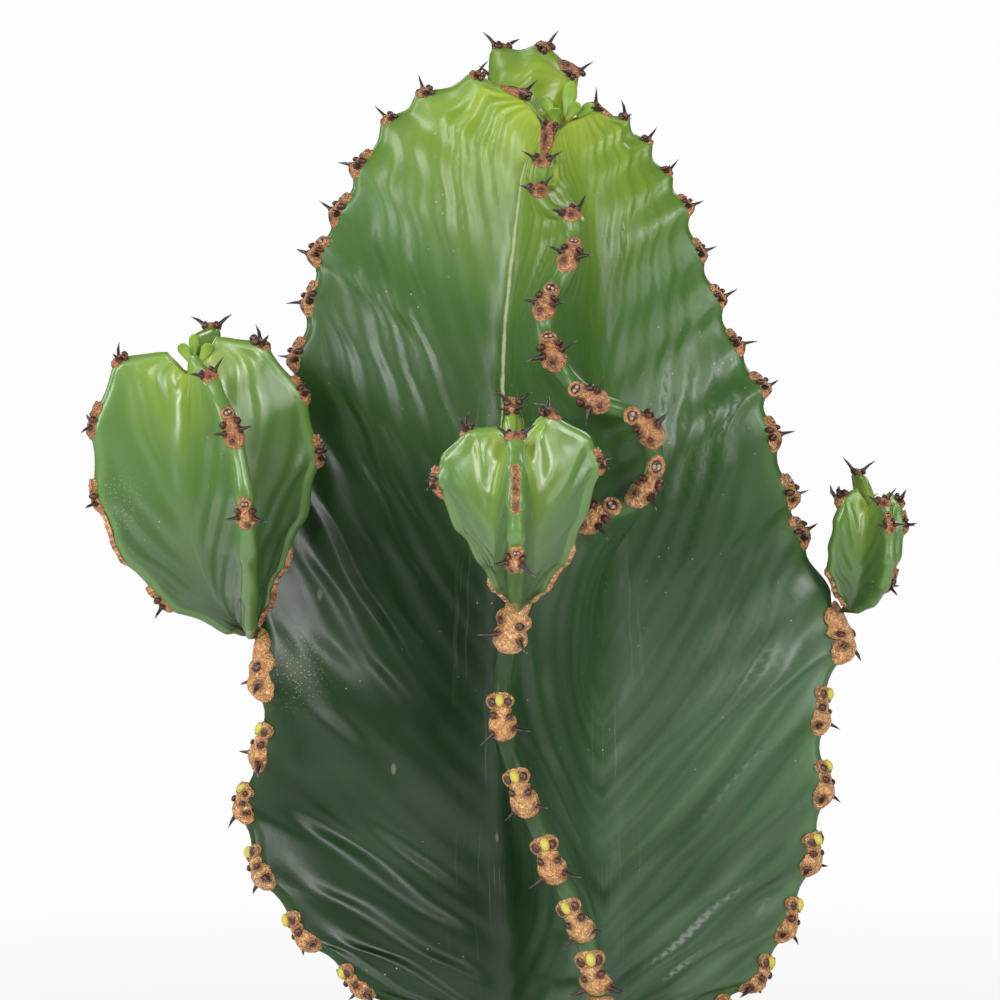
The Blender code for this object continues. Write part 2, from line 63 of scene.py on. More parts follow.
# The stem's ribs, millimetres: one point for each shield, from the sunken tip down to the root
stemShape = {
    "right": [
        (13, 4, 564), (22, 6, 561), (29, 6, 554), (35, 2, 545), (41, -1, 536), (45, 0, 522),
        (51, 3, 508), (56, 2, 494), (64, -3, 482), (67, -5, 468), (73, -2, 449), (76, 2, 437),
        (83, 3, 421), (90, 0, 403), (83, -5, 382), (84, -8, 361), (81, -5, 338), (74, -6, 317),
        (65, -8, 300),
    ],
    "back": [
        (7, 14, 573), (-2, 26, 580), (-15, 38, 579), (-16, 50, 568), (-14, 58, 556), (-12, 64, 542),
        (-10, 70, 526), (-9, 74, 509), (-8, 77, 492), (-8, 79, 475), (-7, 81, 458), (-6, 82, 440),
        (-5, 82, 420), (-4, 80, 400), (-4, 80, 380), (-5, 82, 360), (-4, 78, 340), (-2, 70, 320),
        (0, 60, 302),
    ],
    "left": [
        (-8, 1, 568), (-22, 2, 574), (-38, 3, 569), (-49, 2, 561), (-58, -2, 548), (-64, -4, 535),
        (-71, -2, 522), (-73, -6, 508), (-77, -10, 492), (-80, -8, 476), (-83, -10, 459), (-86, -14, 441),
        (-88, -21, 420), (-88, -27, 398), (-88, -26, 377), (-94, -20, 358), (-89, -24, 338),
        (-76, -26, 318), (-60, -26, 303),
    ],
    "front": [
        (-1, -12, 559), (-3, -22, 551), (-4, -32, 544), (5, -42, 538), (5, -52, 528), (-2, -61, 515),
        (-1, -69, 502), (10, -74, 489), (26, -76, 481), (27, -78, 464), (12, -80, 456), (-1, -80, 443),
        (-12, -80, 422), (-15, -78, 396), (-9, -76, 373), (-1, -73, 352), (7, -69, 333), (12, -64, 315),
        (15, -56, 300),
    ],
    "foot": [(287, 49), (275, 43), (261, 43), (243, 47), (222, 47), (200, 42), (182, 37), (166, 34), (148, 31)],
    "footAngles": {"right": -8, "back": 88, "left": 203, "front": 284},
    "centre": (1, 0),
    "heights": [
        560, 552, 543, 531, 517, 501, 484, 467, 450, 433, 416, 399, 383, 367, 351, 336, 322, 309, 297,
        284, 272, 259, 242, 221, 199.5, 182, 166, 148,
    ],
    "radii": [
        6.5, 10, 13, 15.5, 17.5, 19, 20, 20.5, 21, 21, 21, 21, 21, 21, 21, 21, 21.5, 22, 22,
        21, 20, 20.5, 22, 23.5, 24, 24, 23, 21,
    ],
    "tip": (2, 1, 555),
    "bay": 2.4, "sweep": 5.6, "lowSweep": 2.6, "bend": 1.1, "ripple": 0.62, "ringsPerShield": 10,
    "flankSteps": 24, "youngTo": 9.0, "scar": 1.0,
}
leftBranchShape = {
    "right": [
        (-98, -38, 501), (-85, -36, 499), (-73, -34, 485), (-68, -32, 466), (-71, -32, 449),
        (-77, -32, 434), (-82, -31, 421), (-86.5, -29, 413),
    ],
    "back": [
        (-104, -34, 501), (-100, -22, 502), (-103, -12, 490), (-107, -8, 472), (-107, -10, 452),
        (-103, -17, 434), (-96, -23, 420), (-89, -24.5, 413.5),
    ],
    "left": [
        (-112, -41, 497), (-126, -42, 495), (-134, -42, 477), (-134, -41, 456), (-128, -40, 438),
        (-114, -37, 421), (-98, -32, 412), (-92, -27.7, 410),
    ],
    "front": [
        (-104, -47, 497), (-99, -58, 493), (-93, -68, 481), (-89, -72, 462), (-88, -68, 443),
        (-88, -57, 427), (-88.5, -42, 415), (-89.3, -30.3, 409.5),
    ],
    "axis": [
        (-104, -39, 490), (-103, -39, 484), (-101, -38, 472), (-99, -37, 456), (-97, -36, 441),
        (-94, -33.5, 427), (-91, -30, 417), (-89, -27, 411.8),
    ],
    "radii": [3, 6, 9, 11, 11, 9, 5.5, 2.4],
    "beads": [0.6, 0.8, 0.9, 0.9, 0.9, 0.85, 0.7, 0.4],
    "tip": (-105, -39, 489), "root": (-85.4, -23.6, 408.6),
    "bay": 1.3, "sweep": 2.6, "bend": 1.0, "ripple": 0.45, "ringsPerShield": 14, "flankSteps": 18, "youngTo": 4.2,
}
frontBranchShape = {
    "right": [
        (-6, -103, 486), (-2, -102, 489), (9, -101, 483), (13.5, -100, 474), (10, -98, 461),
        (5, -96, 447), (-1, -91, 437), (-6.3, -84, 431),
    ],
    "back": [
        (-12, -98, 487), (-12, -93, 491), (-12, -89.5, 484), (-12, -88, 474), (-12, -88, 462),
        (-12, -87, 450), (-11, -84.5, 440), (-9.6, -81, 433.5),
    ],
    "left": [
        (-15, -104, 485), (-24, -104, 485), (-31, -103.5, 478), (-34, -103, 470), (-29, -100, 457),
        (-23, -96, 447), (-18, -90, 437), (-13, -84, 431),
    ],
    "front": [
        (-11, -112, 484.5), (-11, -119, 485), (-11, -127, 479), (-11, -131, 470), (-11, -131, 459),
        (-11, -124, 448), (-11, -106, 436), (-10, -87, 429),
    ],
    "axis": [
        (-11, -104, 478), (-11, -104, 474), (-11, -104, 467), (-11, -103, 459), (-11, -101, 450),
        (-11, -98, 443), (-10.5, -91.5, 436), (-9.7, -84, 431.3),
    ],
    "radii": [3.5, 6, 8, 9, 8.5, 7, 4.5, 2.2],
    "beads": [0.6, 0.75, 0.8, 0.85, 0.85, 0.8, 0.65, 0.4],
    "tip": (-11, -104, 478), "root": (-8.5, -78.5, 429),
    "bay": 0.9, "sweep": 1.6, "bend": 1.0, "ripple": 0.32, "ringsPerShield": 12, "flankSteps": 16, "youngTo": 5.5,
}
rightBranchShape = {
    "right": [
        (101, -8, 450), (104.5, -8, 447), (106, -8, 440), (105, -8, 431), (102, -7, 422),
        (98, -5, 416), (94, -3, 412.5),
    ],
    "back": [
        (94, -2, 453), (92, 4, 454), (94, 8, 447), (95, 9, 437), (95, 7, 427), (94, 3, 419),
        (92, -0.5, 414),
    ],
    "left": [
        (91, -8, 451), (86, -10, 449), (84, -12, 443), (82.5, -12, 435), (82, -11, 427),
        (84.5, -9, 420), (88, -5.5, 414.5),
    ],
    "front": [
        (97, -13, 449.5), (99, -17, 448), (100, -20, 441), (100, -21, 432), (99, -18, 423),
        (96, -12, 416), (92, -6.5, 412.5),
    ],
    "axis": [
        (96, -7, 445), (96, -7, 442), (96, -7, 437), (95.5, -6.5, 430), (95, -6, 424),
        (93.5, -5, 418.5), (91.3, -4, 414),
    ],
    "radii": [2.2, 3.6, 4.8, 5.4, 5, 4, 2],
    "beads": [0.45, 0.55, 0.65, 0.7, 0.7, 0.6, 0.35],
    "tip": (96, -7, 444.5), "root": (86.6, 0, 411.8),
    "bay": 0.6, "sweep": 1.6, "bend": 1.0, "ripple": 0.3, "ringsPerShield": 12, "flankSteps": 12, "youngTo": 5.0,
}


def alongCurve(points, places):
    # smooth curve through points or numbers; place 0 is the first, 1 the second and so on
    points = np.asarray(points, float)
    places = np.asarray(places, float)
    last = len(points) - 1
    start = np.clip(np.floor(places).astype(int), 0, last - 1)
    share = places - start
    if points.ndim == 2:
        share = share[:, None]
    before = points[np.maximum(start - 1, 0)]
    first = points[start]
    second = points[start + 1]
    after = points[np.minimum(start + 2, last)]
    leave = (second - before) * 0.5
    arrive = (after - first) * 0.5
    square = share * share
    cube = square * share
    return (
        first * (2 * cube - 3 * square + 1)
        + leave * (cube - 2 * square + share)
        + second * (3 * square - 2 * cube)
        + arrive * (cube - square)
    )


def unit(vectors):
    return vectors / np.maximum(np.linalg.norm(vectors, axis=-1, keepdims=True), 1e-9)


def makePlant(shape):
    plant = dict(shape)
    plant["crests"] = {rib: np.array(shape[rib], float) for rib in ribNames}
    if "foot" in shape:
        for rib in ribNames:
            turn = math.radians(shape["footAngles"][rib])
            foot = [
                (shape["centre"][0] + reach * math.cos(turn), shape["centre"][1] + reach * math.sin(turn), height)
                for height, reach in shape["foot"]
            ]
            plant["crests"][rib] = np.vstack([plant["crests"][rib], foot])
        plant["axis"] = np.array([(*shape["centre"], height) for height in shape["heights"]], float)
        plant["beads"] = [0.55, 0.7, 0.8, 0.9] + [1.0] * (len(shape["heights"]) - 4)
    plant["axis"] = np.array(plant["axis"], float)
    plant["last"] = len(plant["axis"]) - 1
    return plant


def valleyLine(plant, number, places):
    turn = math.radians(valleyAngles[number])
    reach = alongCurve(plant["radii"], places)[:, None]
    return alongCurve(plant["axis"], places) + np.array((math.cos(turn), math.sin(turn), 0.0)) * reach


def toothShape(places):
    # one just under the middle of every shield; a quick drop below it and a slow climb to the next
    share = (np.asarray(places, float) - 0.16) % 1.0
    return (1 + np.cos(2 * math.pi * share ** 0.72)) / 2


def crestFrames(plant, rib, places):
    # crest point, outward, sideways and up-the-crest directions at each place
    places = np.clip(np.asarray(places, float), 0, plant["last"])
    line = plant["crests"][rib]
    crest = alongCurve(line, places)
    above = alongCurve(line, np.maximum(places - 0.15, 0))
    below = alongCurve(line, np.minimum(places + 0.15, plant["last"]))
    upward = unit(above - below)
    number = ribNames.index(rib)
    across = valleyLine(plant, number, places) - valleyLine(plant, number - 1, places)
    sideways = unit(across - upward * np.sum(across * upward, axis=1, keepdims=True))
    outward = np.cross(sideways, upward)
    fade = np.minimum(np.minimum(places, plant["last"] - places), 1.0)
    dip = plant["bay"] * fade * (1 - toothShape(places))
    return crest - outward * dip[:, None], outward, sideways, upward


def newObject(name, verts, faces, smooth=True):
    mesh = bpy.data.meshes.new(name)
    mesh.from_pydata([tuple(v) for v in verts], [], faces)
    mesh.validate()
    mesh.update()
    if smooth:
        mesh.shade_smooth()
    obj = bpy.data.objects.new(name, mesh)
    bpy.context.scene.collection.objects.link(obj)
    return obj


def deselect():
    bpy.ops.object.select_all(action="DESELECT")


def editAll():
    bpy.ops.object.mode_set(mode="EDIT")
    bpy.ops.mesh.select_all(action="SELECT")


def leaveEdit():
    bpy.ops.object.mode_set(mode="OBJECT")


def faceOutward(obj):
    bpy.context.view_layer.objects.active = obj
    deselect()
    obj.select_set(True)
    editAll()
    bpy.ops.mesh.normals_make_consistent(inside=False)
    leaveEdit()


def finishWith(obj, kind, **settings):
    # adds one modifier and applies it
    bpy.context.view_layer.objects.active = obj
    modifier = obj.modifiers.new(kind.lower(), kind)
    for key, value in settings.items():
        setattr(modifier, key, value)
    bpy.ops.object.modifier_apply(modifier=modifier.name)


def settle(obj, node=None):
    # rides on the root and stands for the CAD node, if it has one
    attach(obj, "root")
    if node:
        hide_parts(node)


def takeMesh(obj):
    mesh = obj.data
    verts = np.empty(len(mesh.vertices) * 3)
    mesh.vertices.foreach_get("co", verts)
    faces = [tuple(polygon.vertices) for polygon in mesh.polygons]
    bpy.data.objects.remove(obj, do_unlink=True)
    bpy.data.meshes.remove(mesh)
    return verts.reshape(-1, 3), faces


def addAttribute(obj, name, values):
    values = np.asarray(values, dtype=np.float32)
    kind = "FLOAT_VECTOR" if values.ndim == 2 else "FLOAT"
    layer = obj.data.attributes.new(name, kind, "POINT")
    layer.data.foreach_set("vector" if values.ndim == 2 else "value", values.ravel())


beadRadius = 2.7  # half the width of a grown crest, millimetres
wingSettings = {
    "beadTurns": (90, 68, 46, 23), "toothBulge": 0.18, "swell": 3.2, "shoulder": 0.14,
    "softFrom": 0.68, "softRounds": 14, "foldStart": 0.14, "topFade": 1.2, "footFade": 3, "lowRipple": 0.35,
}


def wingedBody(name, plant, values=wingSettings):
    # a closed winged column: rounded crests, flanks with ripples that run down from each shield
    places = np.linspace(0, plant["last"], plant["last"] * plant["ringsPerShield"] + 1)
    bead = beadRadius * alongCurve(plant["beads"], places)
    tooth = toothShape(places) ** 2
    fade = np.clip(np.minimum(places, plant["last"] - places), 0, 1)
    wide = bead * (1 + values["toothBulge"] * tooth * fade)
    steps = plant["flankSteps"]
    flankShares = [1 - (step / (steps - 1)) ** 0.92 * 0.97 for step in range(steps)]
    shares = flankShares + [0.0] * len(values["beadTurns"])
    columns, depths = [], []
    for number, rib in enumerate(ribNames):
        crest, outward, sideways, upward = crestFrames(plant, rib, places)
        for hand, valleyNumber in ((-1, number - 1), (1, number)):
            valley = valleyLine(plant, valleyNumber, places)
            edge = crest - outward * bead[:, None] + sideways * (hand * bead)[:, None]
            half = []
            for share in flankShares:
                swell = values["swell"] * share * (1 - share) ** 1.5 * np.clip(bead / beadRadius, 0, 1)
                swell = swell + (wide - bead) * max(0.0, 1 - share / values["shoulder"]) ** 2
                half.append(edge + (valley - edge) * share + sideways * (hand * swell)[:, None])
            for turn in np.radians(values["beadTurns"]):
                point = crest - outward * (bead * (1 - math.cos(turn)))[:, None]
                half.append(point + sideways * (hand * wide * math.sin(turn))[:, None])
            columns += half + [crest] if hand < 0 else half[:0:-1]
            depths += shares + [0.0] if hand < 0 else shares[:0:-1]
    depths = np.array(depths)
    grid = softenValleys(np.stack(columns, axis=1), depths)
    # folds run steeply down the upper wings and lie flatter low down
    low = np.clip((places - 9) / 6, 0, 1)
    sweep = plant["sweep"] + (plant.get("lowSweep", plant["sweep"]) - plant["sweep"]) * low
    phase = places[:, None] - sweep[:, None] * depths[None, :] ** plant["bend"]
    return closedColumn(name, plant, ripple(plant, grid, phase, depths, places), phase, depths, places)


def softenValleys(grid, depths):
    start = wingSettings["softFrom"]
    weight = np.clip((depths - start) / (1 - start), 0, 1)[None, :, None] * 0.5
    for turn in range(wingSettings["softRounds"]):
        mean = (np.roll(grid, 1, axis=1) + np.roll(grid, -1, axis=1)) / 2
        grid = grid + (mean - grid) * weight
    return grid


def foldHeight(angle, depth, wing):
    # a soft ridge from every shield, each with its own strength, plus low waves
    drift = noise.noise((angle * 0.7, wing, depth * 1.1))
    wave = math.cos(2 * math.pi * (angle + 0.35 * drift) + 1.1)
    strength = 0.65 + noise.noise((angle * 0.6 + 20, wing, depth))
    double = math.cos(4 * math.pi * (angle + 0.3 * drift)) * noise.noise((angle * 0.5 + 60, depth * 2.2, wing))
    low = noise.noise((angle * 0.45, depth * 0.7, wing + 90))
    return wave * strength + 0.2 * double + 1.6 * low


def ripple(plant, grid, phase, depths, places):
    down = np.gradient(grid, axis=0)
    around = np.roll(grid, -1, axis=1) - np.roll(grid, 1, axis=1)
    normal = unit(np.cross(around, down))
    outside = grid - np.array(alongCurve(plant["axis"], places))[:, None, :]
    normal = normal * np.sign(np.sum(normal * outside, axis=(0, 1, 2)) or 1.0)
    rows, count = grid.shape[:2]
    height = np.zeros((rows, count))
    envelope = np.clip(depths / wingSettings["foldStart"], 0, 1) ** 1.5 * np.clip((1.03 - depths) / 0.5, 0, 1)
    ends = np.clip(places / wingSettings["topFade"], 0, 1)
    ends = ends * np.clip((plant["last"] - places) / wingSettings["footFade"], 0, 1)
    wing = (np.arange(count) * 8 // count) * 7.3
    for row, column in np.argwhere(np.tile(envelope > 0, (rows, 1))):
        height[row, column] = envelope[column] * foldHeight(phase[row, column], depths[column], wing[column])
    crisp = 1 + wingSettings["lowRipple"] * np.clip((places - 11) / 4, 0, 1)
    height = height * (ends * crisp)[:, None] * plant["ripple"]
    return grid + normal * height[:, :, None]


def closedColumn(name, plant, grid, phase, depths, places):
    # two rings lead in from the tip, then come the grid's rings, and the root closes them
    rows, count = grid.shape[:2]
    tip = np.array(plant["tip"], float)
    root = np.array(plant["root"], float) if "root" in plant else grid[-1].mean(axis=0)
    verts = [tip + (grid[0] - tip) * share for share in (0.3, 0.6)] + [grid.reshape(-1, 3), tip[None], root[None]]
    growth = [(phase[0, column], depths[column], 0.0) for column in range(count)] * 2
    age = [0.0] * (2 * count)
    seam = [0.0] * (2 * count)
    seamColumn = int(count * 0.75)
    for row, place in enumerate(places):
        growth += [(phase[row, column], depths[column], place) for column in range(count)]
        age += [place / plant["youngTo"]] * count
        shown = max(0.0, min(1.0, (place - 0.8) / 0.8)) * max(0.0, min(1.0, (11.5 - place) / 4))
        seam += [plant.get("scar", 0.0) * shown * (column == seamColumn) for column in range(count)]
    growth += [(0, 1, 0), (plant["last"], 1, plant["last"])]
    age += [0.0, plant["last"] / plant["youngTo"]]
    seam += [0.0, 0.0]
    faces = []
    for column in range(count):
        following = (column + 1) % count
        for base in range(0, (rows + 1) * count, count):
            faces.append((base + column, base + count + column, base + count + following, base + following))
        base = (rows + 1) * count
        top = base + count
        faces.append((top, column, following))
        faces.append((top + 1, base + following, base + column))
    obj = newObject(name, np.vstack(verts) * mm, faces)
    faceOutward(obj)
    for label, amounts in (("growth", growth), ("age", age), ("seam", seam)):
        addAttribute(obj, label, amounts)
    return obj


class Nodes:
    # short calls for the nodes of one material or group
    def __init__(self, tree):
        self.tree = tree

    def put(self, value, socket):
        # a number, a vector, a colour or another node's output
        if isinstance(value, tuple) and len(value) < len(socket.default_value):
            value = (*value, 1.0)
        if isinstance(value, (int, float, tuple)):
            socket.default_value = value
        else:
            self.tree.links.new(value, socket)

    def add(self, kind, settings=None, **sockets):
        node = self.tree.nodes.new(kind)
        for key, value in (settings or {}).items():
            setattr(node, key, value)
        for key, value in sockets.items():
            self.put(value, node.inputs[key])
        return node

    def place(self):
        return self.add("ShaderNodeTexCoord").outputs["Object"]

    def attribute(self, name, output="Fac"):
        return self.add("ShaderNodeAttribute", {"attribute_name": name}).outputs[output]

    def math(self, operation, *values, clamp=False):
        node = self.add("ShaderNodeMath", {"operation": operation, "use_clamp": clamp})
        for value, socket in zip(values, node.inputs):
            self.put(value, socket)
        return node.outputs[0]

    def times(self, first, second):
        return self.math("MULTIPLY", first, second)

    def timesPlus(self, first, second, third):
        return self.math("MULTIPLY_ADD", first, second, third)

    def part(self, vector, letter):
        return self.add("ShaderNodeSeparateXYZ", Vector=vector).outputs[letter]

    def mix(self, share, first, second):
        node = self.add("ShaderNodeMix", {"data_type": "RGBA"})
        for value, index in ((share, 0), (first, 6), (second, 7)):
            self.put(value, node.inputs[index])
        return node.outputs[2]

    def ramp(self, value, *stops):
        node = self.add("ShaderNodeValToRGB", Fac=value)
        elements = node.color_ramp.elements
        elements.remove(elements[-1])
        for index, (place, colour) in enumerate(stops):
            element = elements[0] if index == 0 else elements.new(place)
            element.position = place
            element.color = (*colour, 1.0) if isinstance(colour, tuple) else (colour, colour, colour, 1.0)
        return node.outputs[0]

    def rise(self, value, start, end):
        return self.ramp(value, (start, 0.0), (end, 1.0))

    def drop(self, value, start, end):
        return self.ramp(value, (start, 1.0), (end, 0.0))

    def noise(self, vector, scale, detail=3.0, rough=0.55):
        node = self.add("ShaderNodeTexNoise", Vector=vector, Scale=scale, Detail=detail, Roughness=rough)
        return node.outputs["Fac"]

    def cells(self, vector, scale, feature="F1"):
        return self.add("ShaderNodeTexVoronoi", {"feature": feature}, Vector=vector, Scale=scale).outputs["Distance"]

    def stretch(self, vector, scale):
        return self.add("ShaderNodeMapping", Vector=vector, Scale=scale).outputs["Vector"]

    def bump(self, shader, height, distance, strength):
        node = self.add("ShaderNodeBump", Height=height, Distance=distance, Strength=strength)
        self.put(node.outputs["Normal"], shader.inputs["Normal"])

    def group(self, group, **sockets):
        return self.add("ShaderNodeGroup", {"node_tree": group}, **sockets).outputs

    def grain(self, place, scale, detail=3.0, rough=0.55, start=0.0, end=1.0):
        return self.group(grainGroup, place=place, scale=scale, detail=detail, rough=rough, start=start, end=end)


def newMaterial(name):
    material = bpy.data.materials.new(name)
    material.use_nodes = True
    return material, Nodes(material.node_tree), material.node_tree.nodes["Principled BSDF"]


def newGroup(name, inputs, outputs):
    # an effect for several materials; the sockets are numbers, apart from these three
    tree = bpy.data.node_groups.new(name, "ShaderNodeTree")
    for labels, way in ((inputs, "INPUT"), (outputs, "OUTPUT")):
        for label in labels.split():
            isVector = way == "INPUT" and label in ("place", "growth", "nick")
            kind = "NodeSocketVector" if isVector else "NodeSocketFloat"
            tree.interface.new_socket(name=label, in_out=way, socket_type=kind)
    nodes = Nodes(tree)
    return tree, nodes, nodes.add("NodeGroupInput").outputs, nodes.add("NodeGroupOutput").inputs


def makeGrainGroup():
    # noise, and patches where it passes from start to end
    tree, nodes, given, result = newGroup("grain", "place scale detail rough start end", "noise mask")
    cloud = nodes.noise(given["place"], given["scale"], given["detail"], given["rough"])
    mask = nodes.add("ShaderNodeMapRange", Value=cloud)
    nodes.put(given["start"], mask.inputs["From Min"])
    nodes.put(given["end"], mask.inputs["From Max"])
    nodes.put(cloud, result["noise"])
    nodes.put(mask.outputs["Result"], result["mask"])
    return tree


grainGroup = makeGrainGroup()

# the waxen green skin: colours from the young tip to the old foot, and what the marks group is given, which includes
# painted shade in the hollows and over the left flanks and painted sheen on the older right flanks
skinSettings = {
    "stemSkin": {
        "ages": {
            0.0: (0.330, 0.430, 0.045), 0.09: (0.190, 0.300, 0.030), 0.28: (0.060, 0.142, 0.025),
            0.52: (0.020, 0.066, 0.013), 0.9: (0.006, 0.024, 0.005),
        },
        "crest": (0.075, 0.165, 0.035), "shine": 0.33,
        "marks": {
            "inner": 0.04, "sinus": 0.95, "bloomed": 0.30, "bloom": 1.0, "leftShade": 0.7,
            "rough": 0.19, "matt": 0.03, "gloss": 0.24, "nick": (-0.0755, -0.040, 0.4005),
        },
    },
    "branchSkin": {
        "ages": {
            0.0: (0.340, 0.440, 0.050), 0.09: (0.190, 0.310, 0.040), 0.28: (0.085, 0.175, 0.034),
            0.52: (0.044, 0.098, 0.026), 0.9: (0.024, 0.058, 0.018),
        },
        "crest": (0.150, 0.290, 0.060), "shine": 0.60,
        "marks": {
            "inner": 0.26, "sinus": 0.10, "bloomed": 0.10, "bloom": 0.0, "leftShade": 0.0,
            "rough": 0.15, "matt": 0.05, "gloss": 0.50, "nick": (-0.128, -0.060, 0.452),
        },
    },
}
# pale waxen patches that are also painted sheen take the first colour; the other marks are the skin's own
skinMarkColours = {
    "wax": (0.088, 0.172, 0.082), "strand": (0.20, 0.25, 0.13), "scar": (0.50, 0.55, 0.34),
    "pore": (0.45, 0.50, 0.30), "speck": (0.42, 0.45, 0.26), "cut": (0.42, 0.22, 0.10), "nick": (0.34, 0.32, 0.20),
}
nickStretch = (1.0, 0.4, 0.8)


def makeSkinMarks():
    tree, nodes, given, result = newGroup(
        "skinMarks",
        "place growth age seam inner sinus bloomed bloom leftShade rough matt gloss nick",
        "ripeness crest shade wax strand scar pore speck cut nick roughness coat height",
    )
    place, growth, age = given["place"], given["growth"], given["age"]
    depth = nodes.part(growth, "Y")
    # growth.x runs across the folds, so noise drawn out along y follows them
    streaks = nodes.noise(nodes.stretch(growth, (2.1, 1.2, 0.0)), 1.0, 2.0, 0.45)
    hairlines = nodes.noise(nodes.stretch(growth, (26.0, 1.6, 0.0)), 1.0, 2.0, 0.5)
    bands = nodes.noise(nodes.stretch(growth, (1.2, 0.8, 0.0)), 1.0, 2.0, 0.5)
    strands = nodes.noise(nodes.stretch(growth, (0.10, 70.0, 0.22)), 1.0, 3.0, 0.6)
    clouds = nodes.noise(place, 22.0, 3.0, 0.5)
    wrinkles = nodes.cells(nodes.stretch(place, (1.0, 1.0, 0.6)), 420.0)
    # ripe with age, shifted along the folds
    inner = nodes.timesPlus(given["inner"], nodes.math("SUBTRACT", 0.6, depth), age)
    aged = nodes.timesPlus(streaks, 0.16, nodes.timesPlus(bands, 0.22, inner))
    nodes.put(nodes.math("MULTIPLY", nodes.math("SUBTRACT", aged, 0.19), 0.5, clamp=True), result["ripeness"])
    crest = nodes.ramp(depth, (0.0, 1.0), (0.05, 0.25), (0.12, 0.0))
    nodes.put(nodes.times(crest, 0.4), result["crest"])
    # painted shade: dark in the hollows and all over the left flanks (object X below zero), once the skin is grown
    halfAge = nodes.times(age, 0.5)
    side = nodes.rise(nodes.timesPlus(nodes.part(place, "X"), 10.0, 0.5), 0.40, 0.62)
    deep = nodes.timesPlus(side, nodes.math("SUBTRACT", given["bloomed"], given["sinus"]), given["sinus"])
    hollowShade = nodes.times(nodes.rise(depth, 0.18, 0.62), deep)
    shaded = nodes.times(nodes.math("SUBTRACT", 1.0, side), given["leftShade"])
    grown = nodes.rise(halfAge, 0.25, 0.60)
    nodes.put(nodes.times(nodes.math("MAXIMUM", hollowShade, shaded), grown), result["shade"])
    # pale waxen patches all over, and painted sheen on the older right flanks (object X above zero)
    rightFlankSheen = nodes.times(nodes.rise(halfAge, 0.52, 0.78), side)
    bloom = nodes.times(nodes.times(rightFlankSheen, nodes.timesPlus(streaks, 1.3, -0.25)), given["bloom"])
    nodes.put(nodes.timesPlus(nodes.rise(clouds, 0.45, 0.72), 0.15, bloom), result["wax"])
    # thin pale strands along the valleys and one broken scar line
    strand = nodes.times(nodes.rise(depth, 0.66, 0.92), nodes.rise(strands, 0.60, 0.66))
    nodes.put(nodes.times(strand, 0.22), result["strand"])
    broken = nodes.noise(place, 260.0, 3.0, 0.7)
    scar = nodes.rise(nodes.times(given["seam"], nodes.math("ADD", broken, 0.45)), 0.52, 0.80)
    nodes.put(nodes.times(scar, 0.75), result["scar"])
    # tiny pale pores in drifts, one speckled cut and a few dry nicks
    drifts = nodes.rise(nodes.noise(place, 38.0, 2.0), 0.55, 0.63)
    pores = nodes.times(nodes.drop(nodes.cells(place, 300.0), 0.055, 0.10), drifts)
    nodes.put(nodes.times(pores, 0.6), result["pore"])
    spot = nodes.add("ShaderNodeVectorMath", {"operation": "DISTANCE"})
    nodes.put(nodes.stretch(place, nickStretch), spot.inputs[0])
    nodes.put(nodes.stretch(given["nick"], nickStretch), spot.inputs[1])
    gap = spot.outputs["Value"]
    cluster = nodes.times(nodes.drop(gap, 0.002, 0.013), 0.75)
    nodes.put(nodes.times(nodes.drop(nodes.cells(place, 1100.0), 0.16, 0.26), cluster), result["speck"])
    nodes.put(nodes.drop(nodes.timesPlus(broken, 0.003, gap), 0.0030, 0.0042), result["cut"])
    nicks = nodes.drop(nodes.cells(nodes.stretch(place, (1.0, 1.0, 0.4)), 48.0), 0.025, 0.045)
    nodes.put(nodes.times(nicks, 0.4), result["nick"])
    rough = nodes.timesPlus(clouds, 0.14, nodes.timesPlus(streaks, 0.20, given["rough"]))
    nodes.put(nodes.timesPlus(scar, 0.3, rough), result["roughness"])
    shiny = nodes.rise(nodes.noise(place, 60.0, 4.0, 0.6), 0.35, 0.68)
    glossRange = nodes.math("SUBTRACT", given["gloss"], given["matt"])
    nodes.put(nodes.timesPlus(shiny, glossRange, given["matt"]), result["coat"])
    height = nodes.times(nodes.noise(place, 900.0, 2.0, 0.5), 0.020)
    for relief, tall in ((hairlines, 0.010), (streaks, 0.06), (wrinkles, 0.035), (scar, 0.25)):
        height = nodes.timesPlus(relief, tall, height)
    nodes.put(height, result["height"])
    return tree


skinMarks = makeSkinMarks()


def makeSkin(name):
    values = skinSettings[name]
    material, nodes, shader = newMaterial(name)
    marks = nodes.group(
        skinMarks, place=nodes.place(), growth=nodes.attribute("growth", "Vector"), age=nodes.attribute("age"),
        seam=nodes.attribute("seam"), **values["marks"],
    )
    colour = nodes.ramp(marks["ripeness"], *values["ages"].items())
    # the shade mark lays painted shade in the old foot's darkest green, and the waxen mark carries painted sheen too
    tints = {"crest": values["crest"], "shade": values["ages"][0.9], **skinMarkColours}
    for mark, tint in tints.items():
        colour = nodes.mix(marks[mark], colour, tint)
    nodes.put(colour, shader.inputs["Base Color"])
    nodes.put(marks["roughness"], shader.inputs["Roughness"])
    nodes.put(marks["coat"], shader.inputs["Coat Weight"])
    nodes.bump(shader, marks["height"], 0.0015, 0.55)
    shader.inputs["Specular IOR Level"].default_value = values["shine"]
    shader.inputs["Coat Roughness"].default_value = 0.20
    return material


corkSettings = {
    "old": ((0.80, 0.38, 0.12), (0.50, 0.175, 0.046)), "young": ((0.56, 0.20, 0.075), (0.28, 0.078, 0.030)),
    "tone": (0.62, 0.38, 0.18), "net": ((1.0, 0.68, 0.36), (0.72, 0.36, 0.19)),
    "spot": (0.24, 0.075, 0.025), "stain": (0.075, 0.024, 0.011), "rough": 0.66,
}


